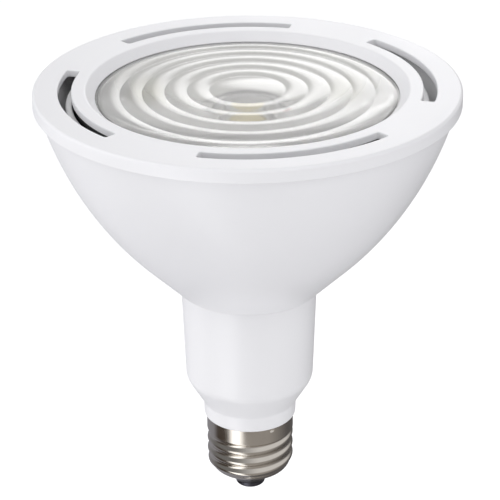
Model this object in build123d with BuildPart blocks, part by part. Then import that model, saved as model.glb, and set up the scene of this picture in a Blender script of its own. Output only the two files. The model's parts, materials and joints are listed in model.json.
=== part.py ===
from build123d import *
from math import cos, radians, sin, sqrt, tan
import os

# Reflector lamp with a screw base, a bowl-shaped body and a round optic behind a slotted front ring.
# Millimetres. +Z runs up the lamp's axis, from the tip of the centre contact at Z = 0 to the front
# ring's flat face.

# Overall
overall_length = 130.5
cap_height = 25.5
collar_height = 4.9
taper_height = 8.3
cup_depth = 62.1

# Front ring
ring_radius = 60.7
ring_skirt_height = 4.1
ring_thickness = 2.0
ring_wall = 1.4
ring_edge_round = 0.9
window_radius = 45.8
window_edge_round = 1.2
lip_depth = 2.8
lip_end_radius = 42.6
slot_count = 4
slot_inner_radius = 49.7
slot_width = 3.8
slot_span = 59.5
slot_centre_angle = 15.0
slot_edge_round = 0.7
snap_bead = 0.35
snap_clearance = 0.15

# Body cup
body_wall = 1.8
body_rim_radius = 21.0
body_cone_angle = 45.0
body_cone_top_radius = 32.0
inner_wall_gap = 0.5
inner_wall_thickness = 1.9
inner_wall_drop = 4.05
rib_thickness = 1.6
rib_drop = 0.5
rib_fit = 0.2

# Neck sleeve
neck_top_radius = 19.95
neck_bottom_radius = 18.9
neck_wall = 1.6
neck_fit = 0.15
collar_top_radius = 13.9
collar_bottom_radius = 13.6
taper_round = 6.0
spigot_wall = 2.0
spigot_gap = 2.65
flange_rise = 7.6
flange_thickness = 3.0
flange_fit = 0.25
rail_thickness = 1.6
rail_overlap = 1.4

# Screw shell, right-hand, seven turns to the inch
shell_radius = 13.0
shell_wall = 0.45
shell_band_height = 4.9
thread_pitch = 25.4 / 7
thread_depth = 0.65
thread_ridge_width = 2.5
thread_crest_relief = 0.05
thread_start = 1.6
thread_start_angle = 90.0
thread_run_out = 1.3
shell_foot_height = 6.5
shell_foot_radius = 10.3
shell_foot_round = 2.3
shell_fit = 0.1
punch_count = 3
punch_width = 1.5
punch_height = 0.8
punch_angle = 300.0

# Insulator and contact
insulator_foot_radius = 4.7
insulator_foot_height = 2.5
insulator_plug_height = 2.4
insulator_fit = 0.1
contact_radius = 4.4
contact_plate = 0.9
eyelet_radius = 1.3
eyelet_fit = 0.05
eyelet_stand = 0.7

# Lens
lens_clearance = 0.3
lens_flange_radius = 46.5
lens_flange_thickness = 2.0
lens_rim_rise = 0.3
lens_crown_rise = 1.4
lens_dome_radius = 10.8
lens_dome_rise = 0.95
lens_ring_count = 5
lens_ring_rise = 0.6
lens_tail_radius = 12.0
lens_tail_rise = 0.4
lens_tail_shoulder = 1.0
lens_tail_bulge = 2.2
lens_cavity_radius = 9.2
lens_cavity_depth = 4.6

# Lens holder
holder_wall = 1.0
holder_gap = 0.6
holder_flange_thickness = 1.2
holder_foot_fit = 0.2

# Heat sink
sink_clearance = 1.1
sink_wall = 2.2
sink_ledge = 1.6
sink_floor_depth = 21.0
sink_floor_thickness = 3.5
sink_top_gap = 0.5
sink_fit = 0.3
hub_wall = 2.2
hub_fit = 0.2
boss_radius = 3.2
boss_height = 10.0
fin_count = 24
fin_thickness = 1.6
wire_hole_radius = 1.5
wire_hole_gap = 4.2

# Light source
pad_thickness = 0.4
led_board_side = 22.0
led_board_thickness = 1.6
led_board_round = 1.5
emitter_radius = 7.5
emitter_height = 0.9
emitter_round = 0.4
led_screw_offset = 8.3
led_screw_length = 5.0

# Driver board and its cover
driver_width = 28.0
driver_rise = 13.0
driver_thickness = 1.6
driver_offset = 6.8
driver_round = 1.5
driver_fit = 0.1
cover_clearance = 0.3
cover_wall = 1.2
cover_rise = 17.5
cover_flange_reach = 0.6
cover_flange_thickness = 1.5
cover_bearing = 0.4

# Driver components, in rows set from the board's foot and its top
input_row = 9.5
bridge_row = 13.5
chip_shift = 4.5
output_margin = 4.4
input_cap_radius = 5.0
input_cap_length = 16.0
input_cap_offset = -2.5
output_cap_radius = 4.0
output_cap_length = 12.0
cap_edge_round = 0.8
choke_radius = 4.0
choke_length = 9.0
choke_offset = 8.4
choke_winding_depth = 1.0
choke_flange_height = 1.5
film_cap_width = 4.5
film_cap_height = 11.0
film_cap_depth = 10.0
film_cap_offset = -10.2
transformer_side = 16.0
transformer_core_depth = 6.0
transformer_limb = 3.0
transformer_leg = 4.0
winding_overhang = 3.5
winding_fit = 0.05
bridge_width = 6.5
bridge_height = 5.0
bridge_depth = 2.5
chip_width = 5.0
chip_height = 4.0
chip_depth = 1.6
fuse_radius = 1.8
fuse_length = 8.5
fuse_lead_radius = 0.45
fuse_lead_length = 1.8

# Wires
wire_radius = 0.6
wire_bend = 1.8
wire_fit = 0.3
wire_seat = 0.1
wire_spread = 6.0
wire_landing = 4.5

# Screws
screw_radius = 1.25
screw_fit = 0.05
screw_head_radius = 2.1
screw_head_height = 1.3
screw_head_round = 0.5
screw_slot_width = 0.6
screw_slot_depth = 0.6
screw_head_clearance = 0.1
sleeve_screw_count = 3
sleeve_screw_length = 8.0
sleeve_screw_angle = 30.0

# Heights worked out from the sizes above
face_height = overall_length
plate_under = face_height - ring_thickness
skirt_foot = face_height - ring_skirt_height
lip_foot = face_height - lip_depth
shell_band_foot = cap_height - shell_band_height
thread_foot = shell_foot_height + thread_start
insulator_top = shell_foot_height + shell_wall + insulator_plug_height
eyelet_top = insulator_top + eyelet_stand
spigot_foot = insulator_top + spigot_gap
collar_top = cap_height + collar_height
taper_top = collar_top + taper_height
body_rim_height = overall_length - cup_depth
flange_foot = body_rim_height + flange_rise
flange_top = flange_foot + flange_thickness
lens_base = lip_foot + lens_rim_rise
lens_seat = lip_foot - lens_flange_thickness
ledge_height = lens_seat - holder_flange_thickness
sink_floor_top = face_height - sink_floor_depth
sink_floor_foot = sink_floor_top - sink_floor_thickness
sink_top = plate_under - sink_top_gap
led_face = sink_floor_top + pad_thickness + led_board_thickness
led_wire_height = led_face + wire_radius + wire_seat
holder_foot = led_wire_height + wire_radius + holder_foot_fit
lens_tail_foot = holder_foot + lens_tail_rise
driver_foot = taper_top
driver_top = flange_top + driver_rise
cover_top = flange_top + cover_rise

# Radii and offsets worked out from the sizes above
skirt_inner_radius = ring_radius - ring_wall
shoulder_radius = skirt_inner_radius - snap_clearance
cup_inner_radius = shoulder_radius - body_wall
slot_outer_radius = slot_inner_radius + slot_width
lens_radius = lip_end_radius - lens_clearance
thread_root_radius = shell_radius - thread_crest_relief - thread_depth
band_bore_radius = shell_radius - shell_wall
root_bore_radius = thread_root_radius - shell_wall
spigot_bore_radius = root_bore_radius - shell_fit - spigot_wall
board_face = driver_thickness / 2 - driver_offset
board_back = -driver_thickness / 2 - driver_offset
board_corner_radius = sqrt((driver_width / 2) ** 2 + board_back**2)
cover_radius = board_corner_radius + cover_clearance + cover_wall
cover_flange_radius = cover_radius + cover_flange_reach
neck_lip_radius = cover_radius - cover_bearing
hub_bore_radius = cover_flange_radius + hub_fit
cup_bore_radius = lens_flange_radius + sink_fit
sink_radius = cup_bore_radius + sink_wall
inner_wall_radius = sink_radius + inner_wall_gap
wire_depth = board_face + wire_radius + wire_seat
wire_hole_offset = led_board_side / 2 + wire_hole_gap
sleeve_screw_circle = neck_top_radius + screw_head_radius + screw_head_clearance
web_angles = [slot_centre_angle + 360 / slot_count * (i + 0.5) for i in range(slot_count)]
led_screw_places = [
    (led_screw_offset, led_screw_offset),
    (-led_screw_offset, -led_screw_offset),
]

# The body's outside is a straight cone that runs tangent into one long arc up to the shoulder.
cone_sin = sin(radians(body_cone_angle))
cone_cos = cos(radians(body_cone_angle))
cone_tan = tan(radians(body_cone_angle))
cone_top_height = body_rim_height + (body_cone_top_radius - body_rim_radius) / cone_tan
arc_run = shoulder_radius - body_cone_top_radius
arc_rise = skirt_foot - cone_top_height
arc_radius = (arc_run**2 + arc_rise**2) / (2 * (arc_rise * cone_sin - arc_run * cone_cos))
arc_centre_radius = body_cone_top_radius - arc_radius * cone_cos
arc_centre_height = cone_top_height + arc_radius * cone_sin


def body_radius(height, inset=0.0):
    """Radius of the body's outside at a height, moved inwards along its normal by inset."""
    reach = arc_radius - inset
    join_radius = arc_centre_radius + reach * cone_cos
    join_height = arc_centre_height - reach * cone_sin
    if height < join_height:
        return join_radius - (join_height - height) * cone_tan
    return arc_centre_radius + sqrt(reach**2 - (height - arc_centre_height) ** 2)


def body_curve(inset, low, high):
    """Outline of the body's outside between two heights, moved inwards along its normal by inset."""
    reach = arc_radius - inset
    join = (arc_centre_radius + reach * cone_cos, arc_centre_height - reach * cone_sin)
    start = (body_radius(low, inset), low)
    end = (body_radius(high, inset), high)
    if low < join[1]:
        Line(start, join)
        TangentArc(join, end, tangent=(cone_sin, cone_cos))
    else:
        turn = (arc_centre_height - low, start[0] - arc_centre_radius)
        TangentArc(start, end, tangent=turn)


def wire_tube(points):
    """Round wire along straight runs joined by tangent arcs."""
    with BuildPart() as tube:
        with BuildLine():
            route = FilletPolyline(*points, radius=wire_bend)
        with BuildSketch(Plane(origin=route @ 0, z_dir=route % 0)):
            Circle(wire_radius)
        sweep(path=route)
    return tube


def pan_screw(length):
    """Slotted screw with a domed head, seated at Z = 0 with its shank pointing down."""
    with BuildPart() as screw:
        with BuildSketch():
            Circle(screw_head_radius)
        extrude(amount=screw_head_height)
        fillet(screw.edges().group_by(Axis.Z)[-1], screw_head_round)
        with BuildSketch():
            Circle(screw_radius)
        extrude(amount=-length)
        with BuildSketch(Plane.XY.offset(screw_head_height)):
            Rectangle(2 * screw_head_radius, screw_slot_width)
        extrude(amount=-screw_slot_depth, mode=Mode.SUBTRACT)
    return screw.part


def save(piece, name):
    """Label a finished piece and write its STEP file."""
    piece.part.label = name
    export_step(piece.part, f"parts/{name}.step")


os.makedirs("parts", exist_ok=True)

# Front ring: skirt, flat face and sloped lip round the lens, turned as one section, then slotted.
lip_slope = (window_radius - lip_end_radius) / lip_depth
lip_back = ring_wall * sqrt(1 + lip_slope**2)
bead_height = (plate_under + skirt_foot) / 2
with BuildPart() as front_ring:
    with BuildSketch(Plane.XZ) as ring_section:
        with BuildLine():
            Polyline(
                (window_radius + lip_back - lip_slope * ring_thickness, plate_under),
                (lip_end_radius + lip_back, lip_foot),
                (lip_end_radius, lip_foot),
                (window_radius, face_height),
                (ring_radius, face_height),
                (ring_radius, skirt_foot),
                (skirt_inner_radius, skirt_foot),
                (skirt_inner_radius, bead_height - snap_bead),
            )
            ThreePointArc(
                (skirt_inner_radius, bead_height - snap_bead),
                (skirt_inner_radius - snap_bead, bead_height),
                (skirt_inner_radius, bead_height + snap_bead),
            )
            Polyline(
                (skirt_inner_radius, bead_height + snap_bead),
                (skirt_inner_radius, plate_under),
                (window_radius + lip_back - lip_slope * ring_thickness, plate_under),
            )
        make_face()
        fillet(ring_section.vertices().group_by(Axis.Y)[-1].sort_by(Axis.X)[-1], ring_edge_round)
        fillet(ring_section.vertices().group_by(Axis.Y)[-1].sort_by(Axis.X)[0], window_edge_round)
    revolve(axis=Axis.Z)
    with BuildSketch(Plane.XY.offset(face_height)):
        for i in range(slot_count):
            slot_start = slot_centre_angle + 360 / slot_count * i - slot_span / 2
            with BuildLine():
                inner = CenterArc((0, 0), slot_inner_radius, slot_start, slot_span)
                outer = CenterArc((0, 0), slot_outer_radius, slot_start, slot_span)
                Line(inner @ 0, outer @ 0)
                Line(inner @ 1, outer @ 1)
            make_face()
    extrude(amount=-ring_thickness, mode=Mode.SUBTRACT)
    top_rims = front_ring.edges().filter_by(GeomType.CIRCLE).group_by(Axis.Z)[-1]
    fillet([rim for rim in top_rims if abs(rim.radius - slot_inner_radius) < 0.01], slot_edge_round)
save(front_ring, "front_ring")

# Inner wall of the body cup: a collar round the heat sink that grows out of the bowl below the slots.
wall_middle = body_wall / 2
inner_wall_foot = arc_centre_height - sqrt(
    (arc_radius - body_wall) ** 2 - (inner_wall_radius - arc_centre_radius) ** 2
)
with BuildPart() as inner_wall:
    with BuildSketch(Plane.XZ):
        with BuildLine():
            body_curve(wall_middle, inner_wall_foot, skirt_foot)
            Polyline(
                (body_radius(skirt_foot, wall_middle), skirt_foot),
                (shoulder_radius - wall_middle, plate_under),
                (0, plate_under),
                (0, inner_wall_foot),
                (body_radius(inner_wall_foot, wall_middle), inner_wall_foot),
            )
        make_face()
        with BuildLine():
            Polyline(
                (inner_wall_radius, inner_wall_foot),
                (inner_wall_radius + inner_wall_thickness, inner_wall_foot),
                (inner_wall_radius + inner_wall_thickness, face_height - inner_wall_drop),
                (inner_wall_radius, face_height - inner_wall_drop),
                (inner_wall_radius, inner_wall_foot),
            )
        make_face(mode=Mode.INTERSECT)
    revolve(axis=Axis.Z)

# Ribs across the inner wall, between the slots, that centre the heat sink.
rib_foot = inner_wall_foot - rib_drop
with BuildPart() as cup_ribs:
    with BuildSketch(Plane.XZ):
        with BuildLine():
            body_curve(wall_middle, rib_foot, skirt_foot)
            Polyline(
                (body_radius(skirt_foot, wall_middle), skirt_foot),
                (shoulder_radius - wall_middle, plate_under),
                (sink_radius + rib_fit, plate_under),
                (sink_radius + rib_fit, rib_foot),
                (body_radius(rib_foot, wall_middle), rib_foot),
            )
        make_face()
    revolve(axis=Axis.Z)
    with BuildSketch(Plane.XY.offset(rib_foot)):
        for angle in web_angles:
            with Locations(Rotation(0, 0, angle)):
                with Locations((ring_radius / 2, 0)):
                    Rectangle(ring_radius, rib_thickness)
    extrude(amount=plate_under - rib_foot, mode=Mode.INTERSECT)

# Body cup: shell of even wall, open at both ends, whose rim stands inside the ring's skirt.
bore_radius = neck_top_radius + neck_fit
rim_bore_top = body_rim_height + (bore_radius - body_radius(body_rim_height, body_wall)) / cone_tan
with BuildPart() as housing:
    with BuildSketch(Plane.XZ):
        with BuildLine():
            body_curve(0, body_rim_height, skirt_foot)
            Polyline(
                (shoulder_radius, skirt_foot),
                (shoulder_radius, plate_under),
                (cup_inner_radius, plate_under),
                (body_radius(skirt_foot, body_wall), skirt_foot),
            )
            body_curve(body_wall, rim_bore_top, skirt_foot)
            Polyline(
                (bore_radius, rim_bore_top),
                (bore_radius, body_rim_height),
                (body_rim_radius, body_rim_height),
            )
        make_face()
    revolve(axis=Axis.Z)
    with BuildSketch(Plane.XZ):
        with Locations((shoulder_radius, bead_height)):
            Circle(snap_bead)
    revolve(axis=Axis.Z, mode=Mode.SUBTRACT)
    add(inner_wall.part)
    add(cup_ribs.part)
save(housing, "housing")

# Space inside the neck sleeve, less the two pairs of rails that hold the driver board.
with BuildPart() as sleeve_cavity:
    with BuildSketch(Plane.XZ):
        with BuildLine():
            Polyline(
                (0, spigot_foot),
                (spigot_bore_radius, spigot_foot),
                (spigot_bore_radius, cap_height),
                (collar_top_radius - neck_wall, collar_top),
                (neck_bottom_radius - neck_wall, taper_top),
                (neck_top_radius - neck_wall, body_rim_height),
                (neck_top_radius - neck_wall, flange_foot),
                (neck_lip_radius, flange_foot + neck_wall),
                (neck_lip_radius, flange_top),
                (0, flange_top),
                (0, spigot_foot),
            )
        make_face()
    revolve(axis=Axis.Z)
    rail_shift = driver_thickness / 2 + driver_fit + rail_thickness / 2
    with BuildSketch(Plane.XY.offset(taper_top)):
        for side in (-1, 1):
            for step in (-1, 1):
                with Locations((side * driver_width, -driver_offset + step * rail_shift)):
                    Rectangle(driver_width + 2 * rail_overlap, rail_thickness)
    extrude(amount=flange_foot - taper_top, mode=Mode.SUBTRACT)

# Neck sleeve: spigot for the screw shell, collar, taper, neck and the flange inside the cup.
flange_radius = body_radius(flange_foot, body_wall) - flange_fit
with BuildPart() as neck_sleeve:
    with BuildSketch(Plane.XZ) as sleeve_section:
        with BuildLine():
            Polyline(
                (0, spigot_foot),
                (root_bore_radius - shell_fit, spigot_foot),
                (root_bore_radius - shell_fit, shell_band_foot + thread_depth),
                (band_bore_radius - shell_fit, shell_band_foot + 2 * thread_depth),
                (band_bore_radius - shell_fit, cap_height),
                (collar_bottom_radius, cap_height),
                (collar_top_radius, collar_top),
                (neck_bottom_radius, taper_top),
                (neck_top_radius, body_rim_height),
                (neck_top_radius, flange_foot),
                (flange_radius, flange_foot),
                (flange_radius, flange_top),
                (0, flange_top),
                (0, spigot_foot),
            )
        make_face()
        taper_corner = sleeve_section.vertices().sort_by_distance((neck_bottom_radius, taper_top, 0))
        fillet(taper_corner[0], taper_round)
    revolve(axis=Axis.Z)
    add(sleeve_cavity.part, mode=Mode.SUBTRACT)
    with BuildSketch(Plane.XY.offset(flange_foot)):
        with PolarLocations(sleeve_screw_circle, sleeve_screw_count, sleeve_screw_angle):
            Circle(screw_radius + screw_fit)
    extrude(amount=flange_thickness, mode=Mode.SUBTRACT)
save(neck_sleeve, "neck_sleeve")

# Ridge of the rolled thread, one rounded section carried along the helix.
ridge_base = thread_root_radius - shell_wall / 2
ridge_crest = thread_root_radius + thread_depth
with BuildPart() as thread_ridge:
    with BuildLine() as thread_helix:
        Helix(thread_pitch, shell_band_foot + thread_run_out - thread_foot, thread_root_radius)
    with BuildSketch(Plane.XZ):
        with BuildLine():
            Line((ridge_base, -thread_ridge_width / 2), (ridge_base, thread_ridge_width / 2))
            Line((ridge_base, thread_ridge_width / 2), (thread_root_radius, thread_ridge_width / 2))
            ThreePointArc(
                (thread_root_radius, thread_ridge_width / 2),
                (ridge_crest, 0),
                (thread_root_radius, -thread_ridge_width / 2),
            )
            Line((thread_root_radius, -thread_ridge_width / 2), (ridge_base, -thread_ridge_width / 2))
        make_face()
    sweep(path=thread_helix.wires()[0], is_frenet=True)

# Screw shell: plain band, rolled thread and a rounded foot that grips the insulator.
foot_bend = shell_foot_height + shell_foot_round
with BuildPart() as base_shell:
    with BuildSketch(Plane.XZ):
        with BuildLine():
            Polyline(
                (0, shell_foot_height),
                (0, cap_height),
                (shell_radius, cap_height),
                (shell_radius, shell_band_foot),
                (thread_root_radius, shell_band_foot - thread_depth),
                (thread_root_radius, foot_bend),
            )
            TangentArc(
                (thread_root_radius, foot_bend),
                (shell_foot_radius, shell_foot_height),
                tangent=(0, -1),
            )
            Line((shell_foot_radius, shell_foot_height), (0, shell_foot_height))
        make_face()
    revolve(axis=Axis.Z)
    with Locations((0, 0, thread_foot)):
        add(thread_ridge.part, rotation=(0, 0, thread_start_angle))
    with BuildSketch(Plane.XZ):
        with BuildLine():
            Polyline(
                (0, shell_foot_height),
                (0, cap_height),
                (band_bore_radius, cap_height),
                (band_bore_radius, shell_band_foot + shell_wall / 2),
                (root_bore_radius, shell_band_foot - thread_depth + shell_wall / 2),
                (root_bore_radius, foot_bend),
            )
            TangentArc(
                (root_bore_radius, foot_bend),
                (shell_foot_radius, shell_foot_height + shell_wall),
                tangent=(0, -1),
            )
            Polyline(
                (shell_foot_radius, shell_foot_height + shell_wall),
                (shell_foot_radius, shell_foot_height),
                (0, shell_foot_height),
            )
        make_face()
    revolve(axis=Axis.Z, mode=Mode.SUBTRACT)
    with BuildSketch(Plane.XY.offset(cap_height)):
        with PolarLocations(shell_radius, punch_count, punch_angle):
            Rectangle(shell_wall * 3, punch_width)
    extrude(amount=-punch_height, mode=Mode.SUBTRACT)
save(base_shell, "base_shell")

# Insulator: moulded plug inside the shell's foot with a cone below it.
plug_radius = shell_foot_radius - insulator_fit
plug_top_radius = root_bore_radius - insulator_fit * 2
with BuildPart() as base_insulator:
    with BuildSketch(Plane.XZ):
        with BuildLine():
            Polyline(
                (eyelet_radius + eyelet_fit, insulator_foot_height),
                (insulator_foot_radius, insulator_foot_height),
                (plug_radius, shell_foot_height - insulator_fit),
                (plug_radius, shell_foot_height + shell_wall + insulator_fit),
                (plug_top_radius, foot_bend + insulator_fit),
                (plug_top_radius, insulator_top),
                (eyelet_radius + eyelet_fit, insulator_top),
                (eyelet_radius + eyelet_fit, insulator_foot_height),
            )
        make_face()
    revolve(axis=Axis.Z)
save(base_insulator, "base_insulator")

# Centre contact: domed disc with an eyelet up through the insulator.
with BuildPart() as center_contact:
    with BuildSketch(Plane.XZ):
        with BuildLine():
            TangentArc(
                (0, 0), (contact_radius, insulator_foot_height - contact_plate), tangent=(1, 0)
            )
            Polyline(
                (contact_radius, insulator_foot_height - contact_plate),
                (contact_radius, insulator_foot_height),
                (eyelet_radius, insulator_foot_height),
                (eyelet_radius, eyelet_top),
                (0, eyelet_top),
                (0, 0),
            )
        make_face()
    revolve(axis=Axis.Z)
save(center_contact, "center_contact")

def crown_height(radius):
    """Height of the lens's crown, on which its dome and rings stand, at a radius."""
    return lens_base + lens_crown_rise * (1 - (radius / lens_radius) ** 2)


# Lens: a dome and even rounded rings on a low crown, a bowl-shaped collimator and a cavity underneath.
ring_pitch = (lens_radius - lens_dome_radius) / lens_ring_count
lens_top = crown_height(lens_dome_radius) + lens_dome_rise
tail_edge_radius = lens_radius - lens_tail_shoulder
tail_middle = ((tail_edge_radius + lens_tail_radius) / 2, (lens_seat + lens_tail_foot) / 2)
with BuildPart() as lens:
    with BuildSketch(Plane.XZ):
        with BuildLine():
            TangentArc(
                (0, lens_top), (lens_dome_radius, crown_height(lens_dome_radius)), tangent=(1, 0)
            )
            for i in range(lens_ring_count):
                near = lens_dome_radius + ring_pitch * i
                crest = near + ring_pitch / 2
                far = near + ring_pitch
                ThreePointArc(
                    (near, crown_height(near)),
                    (crest, crown_height(crest) + lens_ring_rise),
                    (far, crown_height(far)),
                )
            Polyline(
                (lens_radius, lens_base),
                (lens_radius, lip_foot),
                (lens_flange_radius, lip_foot),
                (lens_flange_radius, lens_seat),
                (tail_edge_radius, lens_seat),
            )
            ThreePointArc(
                (tail_edge_radius, lens_seat),
                (tail_middle[0], tail_middle[1] - lens_tail_bulge),
                (lens_tail_radius, lens_tail_foot),
            )
            Line((lens_tail_radius, lens_tail_foot), (lens_cavity_radius, lens_tail_foot))
            TangentArc(
                (0, lens_tail_foot + lens_cavity_depth),
                (lens_cavity_radius, lens_tail_foot),
                tangent=(1, 0),
            )
            Line((0, lens_tail_foot + lens_cavity_depth), (0, lens_top))
        make_face()
    revolve(axis=Axis.Z)
save(lens, "lens")

# Lens holder: thin bowl under the lens, hung by its flange on the heat sink's ledge.
holder_edge = tail_edge_radius + holder_gap
holder_bore = lens_tail_radius + holder_gap
with BuildPart() as lens_holder:
    with BuildSketch(Plane.XZ):
        with BuildLine():
            ThreePointArc(
                (holder_edge, lens_seat),
                (tail_middle[0] + holder_gap, tail_middle[1] - lens_tail_bulge - holder_gap),
                (holder_bore, holder_foot),
            )
            Line((holder_bore, holder_foot), (holder_bore + holder_wall, holder_foot))
            ThreePointArc(
                (holder_bore + holder_wall, holder_foot),
                (
                    tail_middle[0] + holder_gap + holder_wall / 2,
                    tail_middle[1] - lens_tail_bulge - holder_gap - holder_wall,
                ),
                (holder_edge + holder_wall, ledge_height),
            )
            Polyline(
                (holder_edge + holder_wall, ledge_height),
                (lens_flange_radius, ledge_height),
                (lens_flange_radius, lens_seat),
                (holder_edge, lens_seat),
            )
        make_face()
    revolve(axis=Axis.Z)
save(lens_holder, "lens_holder")

# Heat sink: fins trimmed to the cup's inside, then the hub, floor and lens cup added to them.
sink_inset = body_wall + sink_clearance
sink_shoulder = body_radius(skirt_foot, sink_inset)
with BuildPart() as heat_sink:
    with BuildSketch(Plane.XZ):
        with BuildLine():
            body_curve(sink_inset, flange_top, sink_floor_foot)
            Polyline(
                (body_radius(sink_floor_foot, sink_inset), sink_floor_foot),
                (hub_bore_radius, sink_floor_foot),
                (hub_bore_radius, flange_top),
                (body_radius(flange_top, sink_inset), flange_top),
            )
        make_face()
    revolve(axis=Axis.Z)
    with BuildSketch(Plane.XY.offset(flange_top)):
        with PolarLocations((hub_bore_radius + sink_radius) / 2, fin_count):
            Rectangle(sink_radius - hub_bore_radius, fin_thickness)
    extrude(amount=sink_floor_foot - flange_top, mode=Mode.INTERSECT)
    with BuildSketch(Plane.XZ):
        with BuildLine():
            body_curve(sink_inset, flange_top, skirt_foot)
            Polyline(
                (sink_shoulder, skirt_foot),
                (sink_shoulder, sink_top),
                (0, sink_top),
                (0, flange_top),
                (body_radius(flange_top, sink_inset), flange_top),
            )
        make_face()
        with BuildLine():
            Polyline(
                (sink_radius, sink_floor_foot),
                (sink_radius, sink_top),
                (cup_bore_radius, sink_top),
                (cup_bore_radius, ledge_height),
                (cup_bore_radius - sink_ledge, ledge_height),
                (cup_bore_radius - sink_ledge, sink_floor_top),
                (0, sink_floor_top),
                (0, sink_floor_foot),
                (hub_bore_radius, sink_floor_foot),
                (hub_bore_radius, flange_top),
                (hub_bore_radius + hub_wall, flange_top),
                (hub_bore_radius + hub_wall, sink_floor_foot),
                (sink_radius, sink_floor_foot),
            )
        make_face(mode=Mode.INTERSECT)
    revolve(axis=Axis.Z)
    with BuildSketch(Plane.XY.offset(flange_top)):
        with PolarLocations(sleeve_screw_circle, sleeve_screw_count, sleeve_screw_angle):
            Circle(boss_radius)
        Circle(hub_bore_radius, mode=Mode.SUBTRACT)
    extrude(amount=boss_height)
    with BuildSketch(Plane.XY.offset(flange_top)):
        with PolarLocations(sleeve_screw_circle, sleeve_screw_count, sleeve_screw_angle):
            Circle(screw_radius + screw_fit)
    extrude(amount=sleeve_screw_length, mode=Mode.SUBTRACT)
    with BuildSketch(Plane.XY.offset(sink_floor_foot)):
        with Locations((wire_hole_offset, 0), (-wire_hole_offset, 0)):
            Circle(wire_hole_radius)
        with Locations(*led_screw_places):
            Circle(screw_radius + screw_fit)
    extrude(amount=sink_floor_thickness, mode=Mode.SUBTRACT)
save(heat_sink, "heat_sink")

# Thermal pad and LED board: two plates of one outline, held down by the same screws.
with BuildPart() as thermal_pad:
    with BuildSketch(Plane.XY.offset(sink_floor_top)):
        RectangleRounded(led_board_side, led_board_side, led_board_round)
        with Locations(*led_screw_places):
            Circle(screw_radius + screw_fit, mode=Mode.SUBTRACT)
    extrude(amount=pad_thickness)
save(thermal_pad, "thermal_pad")

with BuildPart() as led_board:
    with BuildSketch(Plane.XY.offset(sink_floor_top + pad_thickness)):
        RectangleRounded(led_board_side, led_board_side, led_board_round)
        with Locations(*led_screw_places):
            Circle(screw_radius + screw_fit, mode=Mode.SUBTRACT)
    extrude(amount=led_board_thickness)
save(led_board, "led_board")

# Light-emitting disc.
with BuildPart() as led_emitter:
    with BuildSketch(Plane.XY.offset(led_face)):
        Circle(emitter_radius)
    extrude(amount=emitter_height)
    fillet(led_emitter.edges().group_by(Axis.Z)[-1], emitter_round)
save(led_emitter, "led_emitter")

# Screws of the LED board.
led_screw = pan_screw(led_screw_length)
with BuildPart() as led_screws:
    with Locations(*[(x, y, led_face) for x, y in led_screw_places]):
        add(led_screw)
save(led_screws, "led_screws")

# Screws that clamp the neck sleeve's flange to the heat sink, heads down.
sleeve_screw = pan_screw(sleeve_screw_length)
with BuildPart() as sleeve_screws:
    with Locations((0, 0, flange_foot)):
        with PolarLocations(sleeve_screw_circle, sleeve_screw_count, sleeve_screw_angle):
            add(sleeve_screw, rotation=(180, 0, 0))
save(sleeve_screws, "sleeve_screws")

# Driver board, upright in the rails of the neck sleeve.
with BuildPart() as driver_board:
    with BuildSketch(Plane.XZ.offset(-board_face)):
        with Locations((0, (driver_foot + driver_top) / 2)):
            RectangleRounded(driver_width, driver_top - driver_foot, driver_round)
    extrude(amount=driver_thickness)
save(driver_board, "driver_board")

# Insulating cover over the board's upper end, with two holes for the output wires.
with BuildPart() as driver_cover:
    with BuildSketch(Plane.XZ):
        with BuildLine():
            Polyline(
                (cover_radius - cover_wall, flange_top),
                (cover_flange_radius, flange_top),
                (cover_flange_radius, flange_top + cover_flange_thickness),
                (cover_radius, flange_top + cover_flange_thickness),
                (cover_radius, cover_top),
                (0, cover_top),
                (0, cover_top - cover_wall),
                (cover_radius - cover_wall, cover_top - cover_wall),
                (cover_radius - cover_wall, flange_top),
            )
        make_face()
    revolve(axis=Axis.Z)
    with BuildSketch(Plane.XY.offset(cover_top)):
        with Locations((wire_spread, wire_depth), (-wire_spread, wire_depth)):
            Circle(wire_radius + wire_fit)
    extrude(amount=-cover_wall, mode=Mode.SUBTRACT)
save(driver_cover, "driver_cover")

# Planes of the board's two faces, X to the right and Y up, each facing away from the board.
front_plane = Plane(origin=(0, board_face, driver_foot), x_dir=(-1, 0, 0), z_dir=(0, 1, 0))
back_plane = Plane(origin=(0, board_back, driver_foot), x_dir=(1, 0, 0), z_dir=(0, -1, 0))
output_row = driver_top - driver_foot - output_margin
input_side = input_row + film_cap_height / 2
output_side = output_row - output_cap_radius
transformer_row = (input_side + output_side) / 2
chip_row = transformer_row + chip_shift

# Electrolytic capacitors: cans with a rounded top.
with BuildPart() as input_capacitor:
    with BuildSketch(front_plane):
        with Locations((-input_cap_offset, input_row)):
            Circle(input_cap_radius)
    extrude(amount=input_cap_length)
    fillet(input_capacitor.edges().sort_by(Axis.Y)[-1], cap_edge_round)
save(input_capacitor, "input_capacitor")

with BuildPart() as output_capacitor:
    with BuildSketch(front_plane):
        with Locations((0, output_row)):
            Circle(output_cap_radius)
    extrude(amount=output_cap_length)
    fillet(output_capacitor.edges().sort_by(Axis.Y)[-1], cap_edge_round)
save(output_capacitor, "output_capacitor")

# Input choke: a drum core, waisted where the wire is wound.
with BuildPart() as input_choke:
    with BuildSketch(front_plane):
        with Locations((-choke_offset, input_row)):
            Circle(choke_radius)
    extrude(amount=choke_length)
    with BuildSketch(front_plane.offset(choke_flange_height)):
        with Locations((-choke_offset, input_row)):
            Circle(choke_radius)
            Circle(choke_radius - choke_winding_depth, mode=Mode.SUBTRACT)
    extrude(amount=choke_length - 2 * choke_flange_height, mode=Mode.SUBTRACT)
save(input_choke, "input_choke")

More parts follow.
